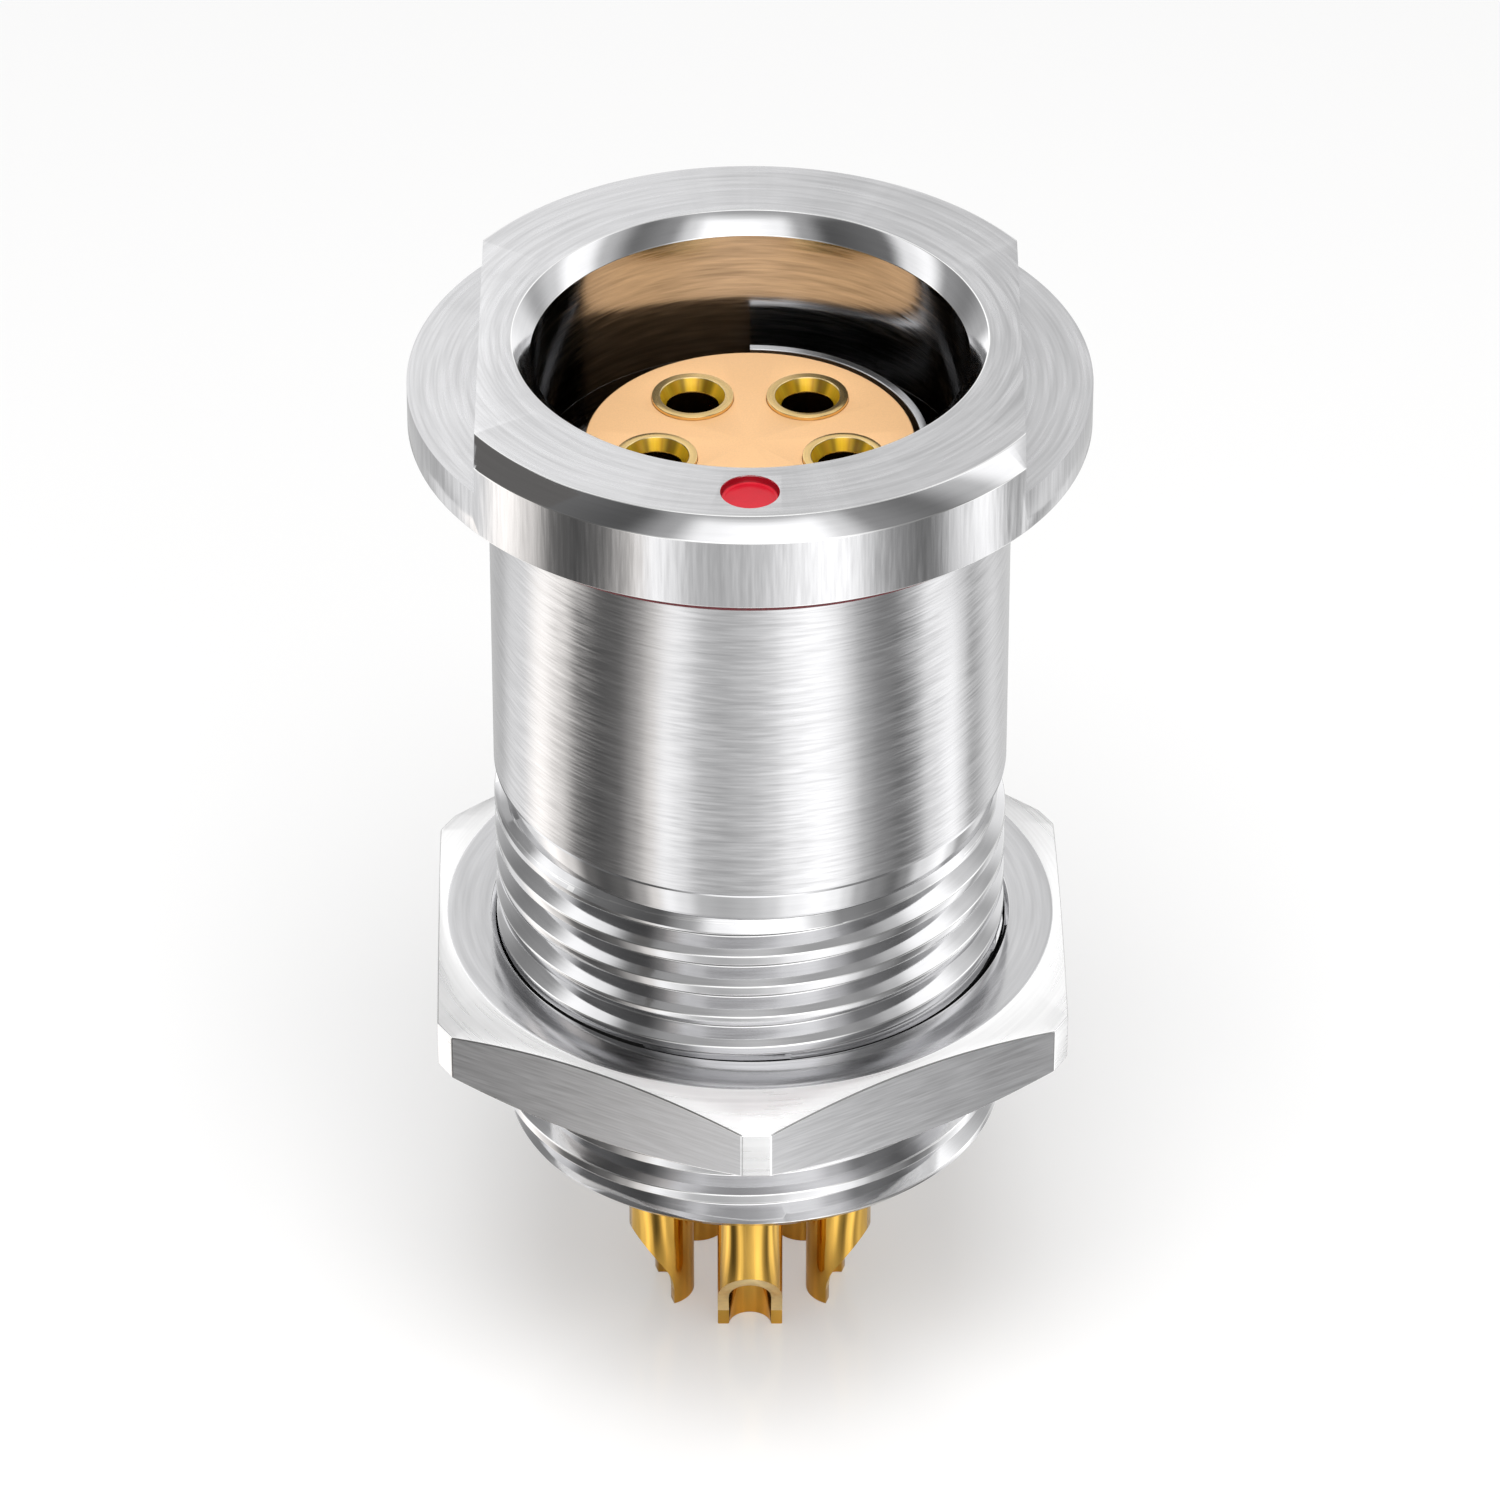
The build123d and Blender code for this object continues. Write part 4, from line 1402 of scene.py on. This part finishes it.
def add_floor(sizes, floor_z):
    """Pale floor: lit diffuse with a faint gloss; in reflections it carries the low ring of cards."""
    material, tree, shader = new_material("Floor", {
        "Base Color": (*sizes.floor_colour, 1.0),
        "Roughness": 0.12,
        "Specular IOR Level": 0.4,
    })
    plain = add_node(tree, "Emission", {"Color": WHITE}).outputs[0]
    place = add_node(tree, "NewGeometry").outputs["Position"]
    flat = scaled(tree, place, (1 / MM, 1 / MM, 0.0))
    radius = add_node(tree, "VectorMath", {0: flat}, operation="LENGTH").outputs["Value"]
    # The ring of cards is drawn out under the contacts and far from the part
    far_stretch = ramp(tree, radius, (44.5, 47.5), (1.0, 1.18))
    near_stretch = ramp(tree, radius, (6.0, 11.0), (1.8, 1.0))
    stretch = calculate(tree, "MULTIPLY", far_stretch, near_stretch)
    cards = add_node(tree, "Emission", {"Color": card_ring(tree, place, LOW_CARDS, stretch, CARD_WARMTH)})
    glow = calculate(tree, "MULTIPLY", seen_by(tree, "Camera", "Transmission"), sizes.floor_glow)
    direct = add_node(tree, "MixShader", {0: glow, 1: shader.outputs["BSDF"], 2: plain}).outputs[0]
    # Straight under the part the floor mirrors no cards
    card_share = ramp(tree, radius, (3.0, 6.5), (0.0, sizes.card_share))
    reflected = calculate(tree, "MULTIPLY", seen_by(tree, "Glossy"), card_share)
    whole = add_node(tree, "MixShader", {0: reflected, 1: direct, 2: cards.outputs[0]}).outputs[0]
    set_inputs(tree, tree.nodes["Material Output"], {"Surface": whole})
    half = sizes.floor_size / 2
    flat_piece("floor", ((0, 0, floor_z), (half, 0, 0), (0, half, 0)), material)


def add_flag():
    """Small dark flag beside the flange, which only reflections see."""
    material = new_material("Flag", {
        "Base Color": (0.0, 0.0, 0.0, 1.0),
        "Roughness": 1.0,
        "Specular IOR Level": 0.0,
        "Emission Color": (0.17, 0.165, 0.16, 1.0),
        "Emission Strength": 1.0,
    })[0]
    centre, half_width, half_height = (-11.6, -5.6, 6.4), (0.9, -3.6, 0.0), (1.7, 0.4, 2.4)
    corners = [Vector(value) * MM for value in (centre, half_width, half_height)]
    flag = flat_piece("flag", corners, material)
    for kind in ("camera", "diffuse", "transmission", "shadow"):
        setattr(flag, f"visible_{kind}", False)


def add_world(scene, sizes):
    """Even light from all round; reflections see the high ring of cards and a soft light overhead."""
    world = bpy.data.worlds.new("Studio")
    world.use_nodes = True
    tree = world.node_tree
    direction = add_node(tree, "TexCoord").outputs["Generated"]
    height = add_node(tree, "SeparateXYZ", {0: direction}).outputs["Z"]
    # Heights are sines of the angle above the horizon
    cards_end, light_start = sin(radians(58.0)), sin(radians(66.0))
    overhead = eased_ramp(tree, height, [(cards_end, (0.0, 0.0, 0.0)), (light_start, (1.0, 1.0, 1.0))])
    zenith = ramp(tree, height, (sin(radians(70.0)), sin(radians(80.0))), (0.5, 1.45))
    sky = blended(tree, overhead, card_ring(tree, direction, HIGH_CARDS), zenith)
    clear = calculate(tree, "MULTIPLY", seen_by(tree, "Camera", "Transmission"), 1.0 - sizes.even_light)
    plain = calculate(tree, "ADD", clear, sizes.even_light)
    light = blended(tree, seen_by(tree, "Glossy"), plain, sky)
    set_inputs(tree, tree.nodes["Background"], {"Color": light})
    scene.world = world


def add_light(name, place, size, watts):
    """One soft rectangular lamp that faces the part; reflections show the cards instead."""
    lamp = bpy.data.lights.new(name, "AREA")
    lamp.shape = "RECTANGLE"
    lamp.size, lamp.size_y = (value * MM for value in size)
    lamp.energy = watts
    holder = bpy.data.objects.new(name, lamp)
    bpy.context.scene.collection.objects.link(holder)
    holder.location = Vector(place) * MM
    holder.rotation_euler = (Vector(LAMP_AIM) - Vector(place)).to_track_quat("-Z", "Y").to_euler()
    holder.visible_glossy = False


def add_camera(scene, sizes):
    """Long lens that looks down at the photo's angle."""
    data = bpy.data.cameras.new("camera")
    data.sensor_width = 36.0
    data.lens = sizes.lens
    data.clip_start = 0.01
    data.clip_end = 20.0
    camera = bpy.data.objects.new("camera", data)
    scene.collection.objects.link(camera)
    reach = sizes.distance
    down = sizes.elevation
    camera.location = (0.0, -reach * cos(down), sizes.aim_height + reach * sin(down))
    camera.rotation_euler = (pi / 2 - down, 0.0, 0.0)
    scene.camera = camera


class RECEPTACLE_PT_panel(Panel):
    """Buttons for each piece"""

    bl_label = "Panel Receptacle"
    bl_idname = "RECEPTACLE_PT_panel"
    bl_space_type = "VIEW_3D"
    bl_region_type = "UI"
    bl_category = "Receptacle"

    def draw(self, context):
        column = self.layout.column(align=True)
        for operator in OPERATORS:
            column.operator(operator.bl_idname)


GROUPS = {
    "receptacle_shell": ShellSizes,
    "receptacle_nut": NutSizes,
    "receptacle_insert": InsertSizes,
    "receptacle_finishes": Finishes,
    "receptacle_stage": StageSizes,
}
OPERATORS = (
    RECEPTACLE_OT_shell,
    RECEPTACLE_OT_nut,
    RECEPTACLE_OT_gasket,
    RECEPTACLE_OT_dot,
    RECEPTACLE_OT_carrier,
    RECEPTACLE_OT_insulators,
    RECEPTACLE_OT_contacts,
    RECEPTACLE_OT_rear,
    RECEPTACLE_OT_stage,
)


def register():
    for name, group in GROUPS.items():
        bpy.utils.register_class(group)
        setattr(bpy.types.Scene, name, PointerProperty(type=group))
    for operator in OPERATORS:
        bpy.utils.register_class(operator)
    bpy.utils.register_class(RECEPTACLE_PT_panel)


def unregister():
    bpy.utils.unregister_class(RECEPTACLE_PT_panel)
    for operator in reversed(OPERATORS):
        bpy.utils.unregister_class(operator)
    for name, group in reversed(GROUPS.items()):
        delattr(bpy.types.Scene, name)
        bpy.utils.unregister_class(group)


def main():
    """Make every piece and the stage."""
    register()
    bpy.ops.receptacle.shell()
    bpy.ops.receptacle.nut()
    bpy.ops.receptacle.gasket()
    bpy.ops.receptacle.dot()
    bpy.ops.receptacle.carrier()
    bpy.ops.receptacle.insulators()
    bpy.ops.receptacle.contacts()
    bpy.ops.receptacle.rear()
    bpy.ops.receptacle.stage()


if __name__ == "__main__":
    main()
